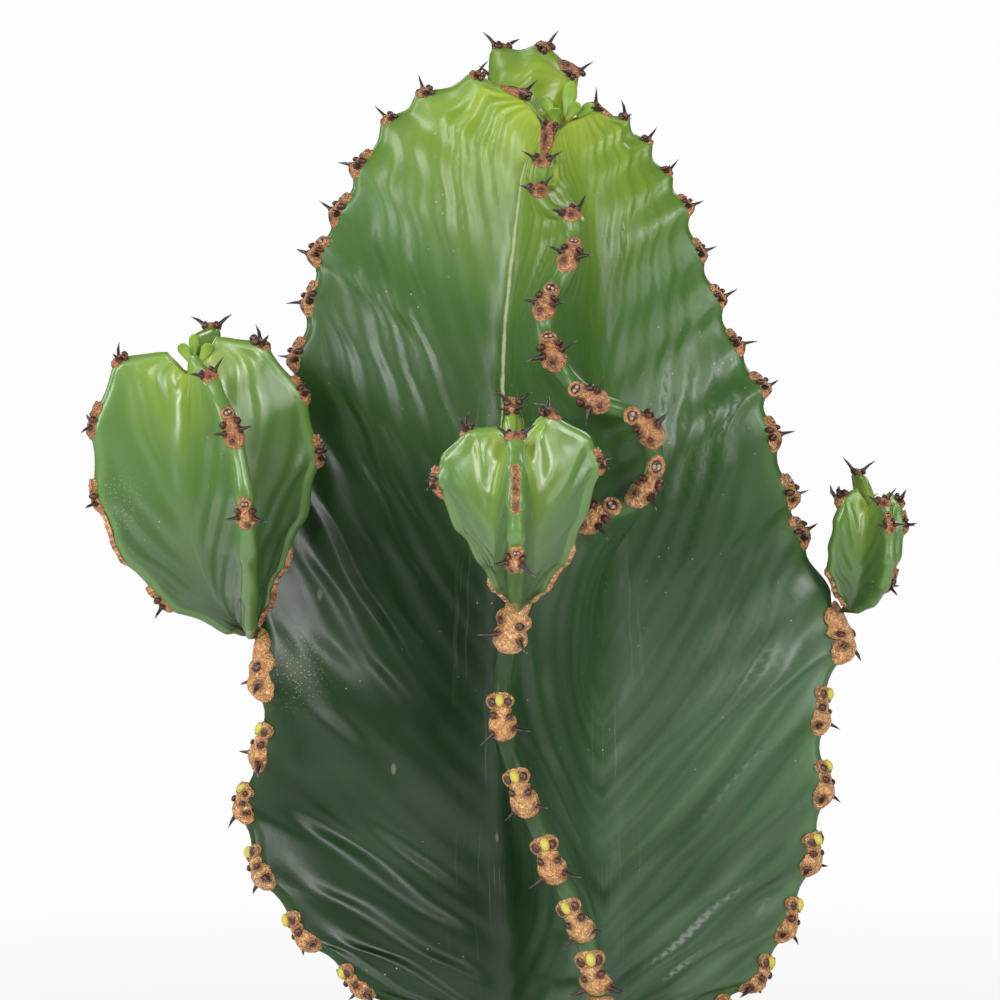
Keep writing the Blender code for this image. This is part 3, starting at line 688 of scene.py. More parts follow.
def makeCork(values):
    material, nodes, shader = newMaterial("crackedCork")
    place = nodes.place()
    youth, tone, stain = (nodes.attribute(name) for name in ("youth", "tone", "stain"))
    # a net of pale cracks, its cells bent by a finer noise
    bent = nodes.add("ShaderNodeVectorMath", {"operation": "MULTIPLY_ADD"})
    wobble = nodes.add("ShaderNodeTexNoise", Vector=place, Scale=600.0, Detail=3.0)
    for value, socket in zip((wobble.outputs["Color"], (0.0016, 0.0016, 0.0016), place), bent.inputs):
        nodes.put(value, socket)
    net = nodes.ramp(nodes.cells(bent.outputs[0], 760.0, "DISTANCE_TO_EDGE"), (0.0, 1.0), (0.06, 0.75), (0.15, 0.0))
    patches = nodes.grain(place, 300.0, 4.0, 0.65)["noise"]
    spots = nodes.grain(place, 900.0, 2.0, 0.6, 0.46, 0.62)["mask"]
    colour = nodes.mix(youth, nodes.mix(patches, *values["old"]), nodes.mix(patches, *values["young"]))
    colour = nodes.mix(nodes.times(tone, 0.30), colour, values["tone"])
    colour = nodes.mix(nodes.times(net, 0.75), colour, nodes.mix(youth, *values["net"]))
    colour = nodes.mix(nodes.times(spots, 0.38), colour, values["spot"])
    dark = nodes.math("MULTIPLY", stain, nodes.timesPlus(patches, 1.6, 0.15), clamp=True)
    nodes.put(nodes.mix(nodes.times(dark, 0.72), colour, values["stain"]), shader.inputs["Base Color"])
    shader.inputs["Roughness"].default_value = values["rough"]
    nodes.bump(shader, nodes.timesPlus(net, 0.5, nodes.timesPlus(spots, -0.6, patches)), 0.0008, 1.0)
    return material


# small finishes mottled by grain: scale, the two colours, roughness, bump distance and strength
mottledFinishes = {
    "darkWart": (900.0, (0.012, 0.006, 0.005), (0.12, 0.035, 0.022), 0.28, 0.0004, 0.7),
    "yellowBud": (800.0, (0.62, 0.52, 0.08), (0.38, 0.36, 0.06), 0.5, 0.0003, 0.6),
    "greyEye": (1100.0, (0.50, 0.42, 0.36), (0.24, 0.17, 0.14), 0.55, 0.0, 0.0),
    "tipLeaf": (350.0, (0.13, 0.29, 0.025), (0.30, 0.42, 0.06), 0.42, 0.0004, 0.4),
}
dryLeaf = (0.32, 0.17, 0.04)


def makeMottled(name, dry=None):
    scale, first, second, rough, distance, strength = mottledFinishes[name]
    material, nodes, shader = newMaterial(name)
    place = nodes.place()
    mottling = nodes.grain(place, scale)["noise"]
    colour = nodes.mix(mottling, first, second)
    if dry:
        colour = nodes.mix(nodes.times(nodes.grain(place, 160.0, 2.0, 0.55, 0.56, 0.66)["mask"], 0.7), colour, dry)
    nodes.put(colour, shader.inputs["Base Color"])
    shader.inputs["Roughness"].default_value = rough
    if strength:
        nodes.bump(shader, mottling, distance, strength)
    return material


spineColours = {
    0.0: (0.20, 0.07, 0.03), 0.25: (0.035, 0.016, 0.014), 0.85: (0.028, 0.018, 0.016), 1.0: (0.12, 0.09, 0.07),
}


def makeSpineFinish():
    material, nodes, shader = newMaterial("hornySpine")
    grain = nodes.grain(nodes.place(), 1200.0, 2.0)["noise"]
    along = nodes.timesPlus(grain, 0.25, nodes.attribute("reach"))
    nodes.put(nodes.ramp(along, *spineColours.items()), shader.inputs["Base Color"])
    shader.inputs["Roughness"].default_value = 0.4
    return material


# shield templates, millimetres: x across the crest, y up the crest, z out of it
def bead(centre, size, segments=12, rings=8, lumps=0.0, trim=None):
    # a lumpy flattened bead: a sphere resized in edit mode, its buried side cut off
    deselect()
    bpy.ops.mesh.primitive_uv_sphere_add(segments=segments, ring_count=rings, radius=1.0)
    obj = bpy.context.object
    editAll()
    bpy.ops.transform.resize(value=size)
    bpy.ops.transform.translate(value=centre)
    if trim is not None:
        bpy.ops.mesh.bisect(plane_co=(0, 0, trim), plane_no=(0, 0, 1), clear_inner=True, use_fill=False)
    leaveEdit()
    if lumps:
        cloud = bpy.data.textures.new("lumps", "CLOUDS")
        cloud.noise_scale = 1.3
        finishWith(obj, "DISPLACE", texture=cloud, strength=lumps, mid_level=0.5)
    return takeMesh(obj)


def ring(centre, major, minor, stretch=1.0):
    deselect()
    bpy.ops.mesh.primitive_torus_add(
        major_segments=14, minor_segments=6, major_radius=major, minor_radius=minor, location=centre
    )
    obj = bpy.context.object
    obj.scale = (stretch, 1.0, 1.0)
    bpy.ops.object.transform_apply(location=True, rotation=True, scale=True)
    return takeMesh(obj)


def spine(base, aim, length, radius, curl=0.12):
    # a cone drawn out in edit mode: three shorter and thinner steps, bent a little
    deselect()
    bpy.ops.mesh.primitive_circle_add(vertices=7, radius=radius, fill_type="NGON")
    obj = bpy.context.object
    editAll()
    for rise, narrow in ((0.14, 0.52), (0.36, 0.66), (0.50, 0.14)):
        bpy.ops.mesh.extrude_region_move(TRANSFORM_OT_translate={"value": (curl * rise, 0, rise * length)})
        bpy.ops.transform.resize(value=(narrow, narrow, 1))
    leaveEdit()
    verts, faces = takeMesh(obj)
    reach = verts[:, 2] / length
    turn = Vector((0, 0, 1)).rotation_difference(Vector(aim)).to_matrix()
    verts = verts @ np.array(turn).T + np.array(base)
    return verts, faces, reach, np.array(base, float)


def heapUp(blocks):
    # one mesh's lists from many blocks of points, faces, a slot or slots, and values at each point
    faces, slots, count = [], [], 0
    for verts, blockFaces, blockSlots, values in blocks:
        faces += [tuple(corner + count for corner in face) for face in blockFaces]
        slots += [blockSlots] * len(blockFaces) if isinstance(blockSlots, int) else blockSlots
        count += len(verts)
    values = {key: np.concatenate([block[3][key] for block in blocks]) for key in blocks[0][3]}
    return np.vstack([block[0] for block in blocks]), faces, slots, values


corkSlot, wartSlot, spineSlot, budSlot, eyeSlot = range(5)


def joinParts(parts):
    # stain is one beside a wart or a spine's foot and fades out over the cork
    darkSpots = [shape[0].mean(axis=0) for shape, slot in parts if slot == wartSlot]
    darkSpots += [shape[3] for shape, slot in parts if slot == spineSlot]
    blocks = []
    for (verts, faces, *extra), slot in parts:
        reach, root = extra or (np.zeros(len(verts)), (np.nan, 0, 0))
        gaps = np.min([np.linalg.norm(verts - spot, axis=1) for spot in darkSpots], axis=0)
        stain = np.clip(1 - (gaps - 1.2) / 1.0, 0, 1)
        blocks.append((verts, faces, slot, {"reach": reach, "stain": stain, "roots": np.tile(root, (len(verts), 1))}))
    return heapUp(blocks)


def cork(*shape):
    return bead(*shape), corkSlot


def wart(*shape):
    return bead(*shape), wartSlot


def flare(x, y, z, size=1.0):
    return cork((x, y, z), (1.15 * size, 1.1 * size, 0.95 * size), 9, 6, 0.2)


def thorn(*shape):
    return spine(*shape), spineSlot


def youngShield(lean):
    # two shiny warts at the top corners and two long black spines
    return joinParts([
        cork((0, -0.9, -0.1), (3.9, 3.8, 2.0), 18, 12, 0.9, -1.4),
        cork((0.1, 2.3, 0.4), (2.2, 1.5, 1.3), 10, 7, 0.4),
        wart((-2.6, 3.0, 1.0), (1.5, 1.4, 1.7), 12, 8, 0.2),
        wart((2.7, 2.9, 1.0), (1.45, 1.5, 1.75), 12, 8, 0.2),
        wart((-0.8, -2.6, 1.4), (0.8, 0.9, 0.5), 8, 6),
        wart((-3.0, 0.2, 0.8), (1.3, 1.3, 1.1), 9, 6, 0.2),
        wart((3.0, 0.1, 0.8), (1.3, 1.3, 1.1), 9, 6, 0.2),
        thorn((-2.9, 0.2, 0.9), (-0.55, 0.16 + lean, 0.82), 8.8, 1.2),
        thorn((2.9, 0.1, 0.9), (0.57, 0.12 - lean, 0.82), 8.4, 1.2),
    ])


def middleShield(lean):
    # a round eye over the neck and two horny spines at the waist
    return joinParts([
        cork((0, -2.8, -0.2), (4.1, 4.7, 2.0), 20, 12, 0.9, -1.5),
        cork((0, 1.6, -0.1), (2.7, 2.2, 1.6), 12, 8, 0.5, -1.3),
        cork((lean, 4.8, -0.1), (2.9, 2.7, 1.7), 14, 9, 0.4, -1.4),
        (ring((lean, 4.9, 1.35), 1.85, 0.6, 1.12), corkSlot),
        wart((lean, 4.9, 1.25), (1.8, 1.65, 0.55), 10, 6),
        (bead((lean - 0.7, 4.95, 1.75), (0.68, 0.66, 0.45), 8, 5), eyeSlot),
        (bead((lean + 0.7, 4.8, 1.75), (0.66, 0.62, 0.45), 8, 5), eyeSlot),
        wart((-3.0, 1.4, 1.0), (1.4, 1.3, 1.6), 11, 8, 0.25),
        wart((3.0, 1.2, 1.0), (1.4, 1.3, 1.65), 11, 8, 0.25),
        wart((0.9, -4.6, 1.45), (0.9, 0.7, 0.35), 8, 5, 0.2),
        flare(-3.0, -1.7, 0.9),
        flare(3.0, -1.9, 0.9),
        thorn((-3.1, -1.7, 1.0), (-0.60, 0.02 + lean * 0.3, 0.80), 8.2, 1.2),
        thorn((3.1, -1.9, 1.0), (0.62, -0.04 - lean * 0.3, 0.80), 7.8, 1.2),
    ])


def oldShield(lean):
    # a broad pad, twin warts with a bud between them, and short low spines
    return joinParts([
        cork((0, -3.1, -0.2), (4.5, 4.9, 2.1), 20, 12, 0.9, -1.5),
        cork((0, 1.9, -0.2), (3.2, 2.4, 1.6), 12, 8, 0.5, -1.3),
        cork((0, 5.0, -0.2), (4.1, 2.5, 1.5), 14, 9, 0.4, -1.4),
        (ring((-2.45, 5.0, 1.0), 1.5, 0.5, 0.92), corkSlot),
        (ring((2.5, 5.0, 1.0), 1.5, 0.5, 0.92), corkSlot),
        wart((-2.45, 5.0, 1.0), (1.25, 1.5, 0.95), 10, 7, 0.2),
        wart((2.5, 5.0, 1.0), (1.25, 1.5, 0.95), 10, 7, 0.2),
        (bead((lean, 5.7, 1.4), (1.4, 1.8, 1.4), 11, 8), budSlot),
        wart((2.5, 1.3, 1.3), (1.15, 1.1, 0.9), 9, 6, 0.2),
        wart((-2.6, 0.4, 1.25), (0.95, 0.9, 0.7), 8, 6, 0.2),
        flare(-3.4, -4.0, 0.7),
        flare(3.4, -4.2, 0.7),
        thorn((-3.4, -4.0, 0.8), (-0.58, -0.22 + lean * 0.2, 0.80), 7.8, 1.15),
        thorn((3.4, -4.2, 0.8), (0.58, -0.28 - lean * 0.2, 0.80), 7.4, 1.15),
    ])


def seatShield():
    # the big pale shield that a side branch grows from, reaching up round the branch's foot
    return joinParts([
        cork((0, -3.0, -0.2), (5.2, 5.2, 2.6), 20, 12, 1.0, -1.5),
        cork((0, 3.2, -0.1), (5.4, 4.2, 2.6), 18, 12, 1.1, -1.5),
        cork((-1.8, 8.0, 0.5), (1.9, 4.6, 2.0), 14, 9, 0.8),
        cork((1.8, 8.8, 0.6), (1.9, 4.6, 2.1), 14, 9, 0.8),
        wart((2.2, 2.3, 1.9), (1.45, 1.45, 0.8), 12, 8, 0.1),
        wart((-3.6, 2.6, 1.3), (1.2, 1.3, 1.1), 10, 7, 0.2),
        flare(-3.6, -1.6, 1.0, 1.2),
        flare(2.9, -2.4, 1.2, 1.2),
        thorn((-3.7, -1.6, 1.1), (-0.66, -0.16, 0.74), 8.0, 1.15),
        thorn((2.9, -2.6, 1.4), (0.34, -0.45, 0.80), 5.6, 1.2),
    ])


shieldSizes = {
    "right": [0.42, 0.44, 0.46, 0.48, 0.5, 0.54, 0.58, 0.62, 0.68, 0.74, 0.82, 0.86] + [1.0] * 12,
    "back": [0.62, 0.66, 0.68, 0.72, 0.75, 0.78, 0.8, 0.82, 0.85, 0.88, 0.9, 0.92] + [1.0] * 12,
    "left": [0.5, 0.55, 0.6, 0.62, 0.65, 0.68, 0.72, 0.76, 0.8, 0.85, 0.9, 0.95] + [1.0] * 12,
    "front": [0.62, 0.68, 0.72, 0.76, 0.8, 0.84, 0.88, 0.92, 0.95, 0.98] + [1.0] * 14,
}
stemRows = {
    "shields_right_upper": ("right", 0, 11),
    "shields_right_lower": ("right", 13, 23),
    "shields_back": ("back", 0, 23),
    "shields_left_upper": ("left", 0, 11),
    "shields_left_lower": ("left", 13, 23),
    "shields_front_upper": ("front", 0, 10),
    "shields_front_lower": ("front", 12, 23),
}
branchRows = {
    "shields_left_branch_right": ("left", "right", [(1, 0.7), (2, 0.75), (3, 0.75)], (4.7, 6.95, 1.7)),
    "shields_left_branch_back": ("left", "back", [(1, 0.65), (2, 0.7), (3, 0.8), (4.2, 0.8)], None),
    "shields_left_branch_left": ("left", "left", [(1, 0.65), (2, 0.8), (3.1, 0.8), (4.9, 0.7)], (3.1, 4.3, 2.0)),
    "shields_left_branch_front": ("left", "front", [(1, 0.65), (2.1, 0.8), (3.4, 0.75)], None),
    "shields_front_branch_right": ("front", "right", [(1, 0.7), (2.9, 0.6)], (4.6, 6.95, 1.25)),
    "shields_front_branch_back": ("front", "back", [(0.4, 0.5), (1.1, 0.6), (2.6, 0.6)], None),
    "shields_front_branch_left": ("front", "left", [(1.1, 0.6), (3.0, 0.7)], (5.7, 6.95, 1.1)),
    "shields_front_branch_front": ("front", "front", [(0.8, 0.7), (4.7, 0.75)], (2.0, 3.5, 1.15)),
    "shields_right_branch_right": ("right", "right", [(0.9, 0.5), (1.9, 0.5), (4.0, 0.6)], None),
    "shields_right_branch_back": ("right", "back", [(0.9, 0.55), (2.2, 0.5)], None),
    "shields_right_branch_left": ("right", "left", [(1.1, 0.65)], (3.9, 5.95, 1.4)),
    "shields_right_branch_front": ("right", "front", [(0.8, 0.5), (1.8, 0.45)], None),
}
seats = (("left", 13), ("right", 13), ("front", 12))  # the stem shields under the side branches
rolls = {"right": (-14, -26), "back": (0, 0), "left": (20, 32), "front": (0, 0)}  # degrees, at the tip and low down
wrapBend = 0.085  # how fast a shield falls away to the sides of its crest


def setOnCrest(plant, rib, place, local, roll=0.0):
    # bends a flat shape onto the crest: y runs along it and x wraps round its bead, turned by the roll
    step = 0.1
    line = plant["crests"][rib]
    ends = alongCurve(line, np.clip([place - step, place + step], 0, plant["last"]))
    pitch = np.linalg.norm(ends[1] - ends[0]) / (2 * step)
    places = np.clip(place - local[:, 1] / pitch, 0.0, plant["last"])
    crest, outward, sideways, upward = crestFrames(plant, rib, places)
    over = (place - local[:, 1] / pitch) - places
    rise = local[:, 2] - wrapBend * local[:, 0] ** 2 + beadRadius
    turned = local[:, 0] * math.cos(roll) + rise * math.sin(roll)
    rise = rise * math.cos(roll) - local[:, 0] * math.sin(roll) - beadRadius
    return crest + sideways * turned[:, None] + outward * rise[:, None] - upward * (over * pitch)[:, None]


def growRow(node, plant, rib, shields, strip, seed, youngPlaces):
    # each shield is a template with its own size, turn and spines
    dice = random.Random(seed)
    blocks = []
    for place, size in shields:
        kind = "young" if place < youngPlaces[0] else "middle" if place < youngPlaces[1] else "old"
        if (rib, place) in seats:
            kind = "seat"
        points, faces, slots, values = dice.choice(templates[kind])
        thorny = ~np.isnan(values["roots"][:, 0])
        size = size * dice.uniform(0.94, 1.06)
        local = points * size
        spineSize = (0.55 + 0.45 * size) * dice.uniform(0.82, 1.1)
        roots = values["roots"][thorny]
        local[thorny] = roots * size + (points[thorny] - roots) * spineSize
        local[:, 0] *= 1 + dice.uniform(-0.08, 0.08)
        local[:, 1] *= 1 + dice.uniform(-0.08, 0.06)
        if dice.random() < 0.5 and kind != "seat":
            local[:, 0] *= -1
        turn = math.radians(dice.uniform(-9, 9))
        spun = np.array([[math.cos(turn), math.sin(turn)], [-math.sin(turn), math.cos(turn)]])
        local[:, :2] = local[:, :2] @ spun
        first, final = rolls[rib] if plant is stem else (0, 0)
        roll = first + (final - first) * min(1.0, place / 13) + dice.uniform(-5, 5)
        placed = setOnCrest(plant, rib, place, local, math.radians(roll))
        old = min(1.0, max(0.0, (place - youngPlaces[0] * 0.5) / youngPlaces[1]))
        blocks.append((placed, faces, slots, {
            "reach": values["reach"], "youth": np.full(len(placed), 1.0 - old),
            "tone": np.full(len(placed), dice.random()), "stain": values["stain"],
        }))
    if strip:
        blocks.append(corkStrip(plant, rib, strip, dice))
    verts, faces, slots, values = heapUp(blocks)
    obj = newObject("cork_" + node, verts * mm, faces)
    faceOutward(obj)
    for finish in rowFinishes:
        obj.data.materials.append(finish)
    obj.data.polygons.foreach_set("material_index", slots)
    for label, amounts in values.items():
        addAttribute(obj, label, amounts)
    settle(obj, node)


def corkStrip(plant, rib, strip, dice):
    # an uneven cork ribbon over the crest bead, barred near the foot and stained near the tip
    start, end, width = strip
    places = np.linspace(start, end, 40)
    crest, outward, sideways, upward = crestFrames(plant, rib, places)
    turns = np.linspace(-1, 1, 9)
    verts, bars, scar = [], [], []
    for row, place in enumerate(places):
        ends = min(1.0, min(row, len(places) - 1 - row) / 4)
        bar = 1.0 if dice.random() < 0.3 else 0.0
        for turn in turns:
            if start > 2.5:
                bars.append(bar)
                scar.append(bar * 0.6)
            else:
                bars.append(0.2)
                scar.append(ends * max(0.0, 1 - 1.5 * turn * turn) * (1.3 + noise.noise((place * 9, turn, 2.0))))
            ragged = 1 + 0.3 * noise.noise((place * 4, turn * 2, width))
            side = turn * width * 1.25 * (0.35 + 0.65 * ends) * ragged
            lump = 0.55 + 0.5 * noise.noise((place * 6, turn * 3, width + 5))
            rise = (1 - turn ** 4) * (0.4 + lump) * (0.3 + 0.7 * ends) - wrapBend * side * side - 0.45
            verts.append(crest[row] + sideways[row] * side + outward[row] * rise)
    wide = len(turns)
    faces = [
        (base, base + wide, base + wide + 1, base + 1)
        for row in range(len(places) - 1) for base in range(row * wide, row * wide + wide - 1)
    ]
    return np.array(verts), faces, corkSlot, {
        "reach": np.zeros(len(verts)), "youth": bars, "tone": np.ones(len(verts)), "stain": np.clip(scar, 0, 1),
    }


# tiny leaves in the tips: foot, lean across, lean in depth, length and width
leaves = {
    "leaf_1": ((4.5, 4.5, 560.5), 8, -10, 13.5, 4.4),
    "leaf_2": ((0.5, 3.0, 560.0), -22, -4, 9.5, 3.8),
    "leaf_3": ((4.5, 0.5, 560.0), 30, 8, 8.5, 3.8),
    "leaf_4": ((7.5, 2.2, 561.0), 52, 0, 8.0, 3.4),
    "leaf_5": ((1.0, -1.5, 559.5), 0, 28, 7.5, 3.4),
    "leaf_6": ((-105.5, -41.0, 494.0), -25, 10, 8.0, 3.4),
    "leaf_7": ((-102.5, -41.0, 494.0), 28, 12, 8.5, 3.4),
    "leaf_8": ((-104.5, -38.5, 494.5), 0, -8, 9.0, 3.0),
}


def growLeaf(node, foot, across, depth, length, width, finish):
    # a spoon: a grid narrowed to its foot and cupped, then given thickness
    deselect()
    bpy.ops.mesh.primitive_grid_add(x_subdivisions=8, y_subdivisions=14, size=1.0)
    obj = bpy.context.object
    obj.name = "tip_" + node
    for vertex in obj.data.vertices:
        up = vertex.co.y + 0.5
        side = vertex.co.x * 2
        outline = math.sqrt(max(0.0, 1 - (2 * max(up, 0.62) - 1.24) ** 2 / 0.58)) * min(1.0, 0.28 + 1.25 * up)
        x = side * width * 0.62 * outline
        cup = 0.28 * width * (side * side) * outline + 0.05 * length * math.sin(up * 3)
        vertex.co = (x, cup - 0.16 * length * up * up, up * length * 1.02)
    finishWith(obj, "SOLIDIFY", thickness=0.7, offset=0.0)
    finishWith(obj, "SUBSURF", levels=1, render_levels=1)
    turn = Matrix.Rotation(math.radians(across), 4, "Y") @ Matrix.Rotation(math.radians(depth), 4, "X")
    obj.data.transform(Matrix.Scale(mm, 4) @ Matrix.Translation(foot) @ turn @ Matrix.Scale(0.8, 4))
    obj.data.materials.clear()
    obj.data.materials.append(finish)
    obj.data.shade_smooth()
    settle(obj, node)


# millimetres; the walls are radii in from the rim's and heights down from the top, where these are below zero
potSettings = {
    "sides": 128, "foot": 74.5, "drainCount": 4, "drainRadius": 6.0, "drainCircle": 42.0, "drainDepth": 24,
    "clay": (0.46, 0.185, 0.09), "pale": (0.62, 0.36, 0.22), "dark": (0.30, 0.105, 0.05), "bloom": (0.72, 0.62, 0.52),
    "walls": [
        (77.2, 3.0), (102.6, -32.5), (103.4, -30.6), (-3.0, -30.0), (-1.2, -28.5), (-0.4, -16.0), (0, -2.2),
        (-0.7, -0.7), (-2.4, 0), (-6.6, 0), (-7.6, -0.8), (-8.2, -2.4), (69.0, 9.0), (2.0, 9.0),
    ],
}


def makeClay(values):
    material, nodes, shader = newMaterial("firedClay")
    place = nodes.place()
    broad = nodes.grain(place, 14.0, 4.0, 0.6, 0.35, 0.68)
    grain = nodes.grain(place, 620.0, 4.0, 0.65, 0.45, 0.7)
    salts = nodes.grain(place, 36.0, 6.0, 0.7, 0.53, 0.66)
    rings = nodes.grain(nodes.stretch(place, (3.0, 3.0, 260.0)), 1.0, 3.0, 0.6)
    damp = nodes.drop(nodes.timesPlus(broad["noise"], 0.05, nodes.part(place, "Z")), 0.035, 0.085)
    colour = nodes.mix(broad["mask"], values["clay"], values["pale"])
    colour = nodes.mix(nodes.times(grain["mask"], 0.45), colour, values["dark"])
    colour = nodes.mix(nodes.times(damp, 0.35), colour, values["dark"])
    colour = nodes.mix(nodes.times(salts["mask"], 0.35), colour, values["bloom"])
    nodes.put(colour, shader.inputs["Base Color"])
    nodes.put(nodes.timesPlus(grain["noise"], 0.15, 0.74), shader.inputs["Roughness"])
    nodes.bump(shader, nodes.timesPlus(rings["noise"], 0.8, nodes.times(grain["noise"], 0.5)), 0.0008, 0.6)
    shader.inputs["Specular IOR Level"].default_value = 0.3
    return material


def makePot(values):
    # a filled ring drawn up the outside, over the rim and down inside to the floor
    rim, _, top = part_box("pot")[1] / mm
    deselect()
    bpy.ops.mesh.primitive_circle_add(vertices=values["sides"], radius=values["foot"], fill_type="NGON")
    pot = bpy.context.object
    pot.name = "clayPot"
    editAll()
    radius, height = values["foot"], 0.0
    for across, up in values["walls"]:
        nextRadius = across if across > 0 else rim + across
        nextHeight = up if up > 0 else top + up
        bpy.ops.mesh.extrude_region_move(TRANSFORM_OT_translate={"value": (0, 0, nextHeight - height)})
        share = nextRadius / radius
        bpy.ops.transform.resize(value=(share, share, 1), center_override=(0, 0, nextHeight))
        radius, height = nextRadius, nextHeight
    bpy.ops.mesh.select_all(action="SELECT")
    bpy.ops.mesh.normals_make_consistent(inside=False)
    leaveEdit()
    for index in range(values["drainCount"]):
        turn = 2 * math.pi * (index + 0.5) / values["drainCount"]
        place = (values["drainCircle"] * math.cos(turn), values["drainCircle"] * math.sin(turn), 4.5)
        deselect()
        bpy.ops.mesh.primitive_cylinder_add(
            vertices=32, radius=values["drainRadius"], depth=values["drainDepth"], location=place
        )
        drill = bpy.context.object
        finishWith(pot, "BOOLEAN", operation="DIFFERENCE", object=drill)
        bpy.data.objects.remove(drill, do_unlink=True)
    finishWith(pot, "BEVEL", width=0.6, segments=2, limit_method="ANGLE", angle_limit=math.radians(32))
    pot.data.transform(Matrix.Scale(mm, 4))
    pot.data.shade_smooth()
    pot.data.set_sharp_from_angle(angle=math.radians(40))
    pot.data.materials.clear()
    pot.data.materials.append(makeClay(values))
    settle(pot, "pot")


# the grains are given as shapes, amount, sizes, seed, the two colours, grain scale and roughness
soilSettings = {
    "stemClear": 36.0, "edgeClear": 0.955, "rings": 34, "skirt": 6.0,
    "peat": (0.030, 0.018, 0.012), "peatDry": (0.105, 0.062, 0.038), "fibre": (0.22, 0.12, 0.06),
    "grains": {
        "gritStones": ("stone", 420, (2.0, 4.6), 21, (0.30, 0.27, 0.23), (0.26, 0.15, 0.09), 500.0, 0.8),
        "barkChips": ("bark", 420, (2.2, 5.2), 22, (0.10, 0.05, 0.028), (0.20, 0.11, 0.06), 600.0, 0.9),
        "perliteGrains": ("stone", 170, (1.4, 3.2), 23, (0.80, 0.79, 0.75), (0.70, 0.68, 0.62), 700.0, 0.85),
    },
}


def makeSoilFinish(values):
    material, nodes, shader = newMaterial("pottingMix")
    place = nodes.place()
    coarse = nodes.grain(place, 260.0, 6.0, 0.7, 0.35, 0.7)
    fibres = nodes.grain(nodes.stretch(place, (1500.0, 300.0, 600.0)), 1.0, 2.0, 0.55, 0.62, 0.70)["mask"]
    colour = nodes.mix(coarse["mask"], values["peat"], values["peatDry"])
    nodes.put(nodes.mix(nodes.times(fibres, 0.5), colour, values["fibre"]), shader.inputs["Base Color"])
    shader.inputs["Roughness"].default_value = 0.95
    nodes.bump(shader, nodes.timesPlus(nodes.cells(place, 420.0), -0.6, coarse["noise"]), 0.003, 1.0)
    return material


def makeStoneFinish(name, first, second, scale, rough):
    material, nodes, shader = newMaterial(name + "Finish")
    grain = nodes.grain(nodes.place(), scale, 4.0, 0.6)["noise"]
    colour = nodes.mix(nodes.attribute("tone"), first, second)
    colour = nodes.mix(nodes.times(grain, 0.5), colour, tuple(value * 0.45 for value in first))
    nodes.put(colour, shader.inputs["Base Color"])
    shader.inputs["Roughness"].default_value = rough
    nodes.bump(shader, grain, 0.0005, 0.8)
    return material


def soilHeight(x, y, crown):
    return crown + 2.4 * noise.noise((x * 0.045, y * 0.045, 3.0)) + 1.0 * noise.noise((x * 0.16, y * 0.16, 9.0))


def makeSoil(values):
    # rings drawn in from the edge, raised by noise, banked up round the stem and sunk at the pot
    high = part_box("soil")[1] / mm
    radius, crown = high.x - 1.2, high.z - 2.6
    deselect()
    bpy.ops.mesh.primitive_circle_add(vertices=120, radius=radius, fill_type="NOTHING", location=(0, 0, crown))
    soil = bpy.context.object
    soil.name = "pottingSoil"
    bpy.ops.object.transform_apply(location=True, rotation=True, scale=True)
    editAll()
    for step in range(values["rings"]):
        bpy.ops.mesh.extrude_region_move(TRANSFORM_OT_translate={"value": (0, 0, 0)})
        share = (values["rings"] - step) / (values["rings"] + 1 - step)
        bpy.ops.transform.resize(value=(share, share, 1), center_override=(0, 0, crown))
    bpy.ops.mesh.edge_face_add()
    leaveEdit()
    for vertex in soil.data.vertices:
        reach = math.hypot(vertex.co.x, vertex.co.y)
        bank = 1.2 * max(0.0, 1 - abs(reach - values["stemClear"]) / 12)
        sunk = 1.5 * max(0.0, (reach / radius - 0.93) / 0.07)
        vertex.co.z = soilHeight(vertex.co.x, vertex.co.y, crown) + bank - sunk
    faceOutward(soil)
    if soil.data.polygons[0].normal.z < 0:
        soil.data.flip_normals()
    finishWith(soil, "SOLIDIFY", thickness=values["skirt"], offset=-1.0)
    soil.data.transform(Matrix.Scale(mm, 4))
    soil.data.shade_smooth()
    soil.data.materials.append(makeSoilFinish(values))
    settle(soil, "soil")
    return radius, crown


def makeGrain(dice, stretch):
    deselect()
    bpy.ops.mesh.primitive_cube_add(size=1.0)
    obj = bpy.context.object
    editAll()
    bpy.ops.mesh.subdivide(number_cuts=1, smoothness=1.0)
    leaveEdit()
    verts, faces = takeMesh(obj)
    uneven = np.array([dice.uniform(0.78, 1.15) for value in range(verts.size)]).reshape(-1, 3)
    return unit(verts) * 0.5 * uneven * np.array(stretch), faces


def scatterGrains(name, kinds, amount, sizes, seed, radius, crown, finish):
    dice = random.Random(seed)
    nearest = (soilSettings["stemClear"] / radius) ** 2
    blocks = []
    for index in range(amount):
        shape, faces = dice.choice(kinds)
        reach = math.sqrt(dice.uniform(nearest, soilSettings["edgeClear"] ** 2)) * radius
        turn = dice.uniform(0, 2 * math.pi)
        x, y = reach * math.cos(turn), reach * math.sin(turn)
        size = dice.uniform(*sizes)
        spin = Matrix.Rotation(dice.uniform(0, 6.28), 3, "Z") @ Matrix.Rotation(dice.uniform(-0.5, 0.5), 3, "X")
        placed = (shape * size) @ np.array(spin).T + np.array((x, y, soilHeight(x, y, crown) + size * 0.12))
        blocks.append((placed, faces, 0, {"tone": np.full(len(placed), dice.random())}))
    verts, faces, slots, values = heapUp(blocks)
    obj = newObject(name, verts * mm, faces)
    obj.data.materials.append(finish)
    addAttribute(obj, "tone", values["tone"])
    settle(obj)


stem = makePlant(stemShape)
body = wingedBody("wingedStem", stem)
body.data.materials.append(makeSkin("stemSkin"))
settle(body, "stem")
print("stem done", len(body.data.polygons))

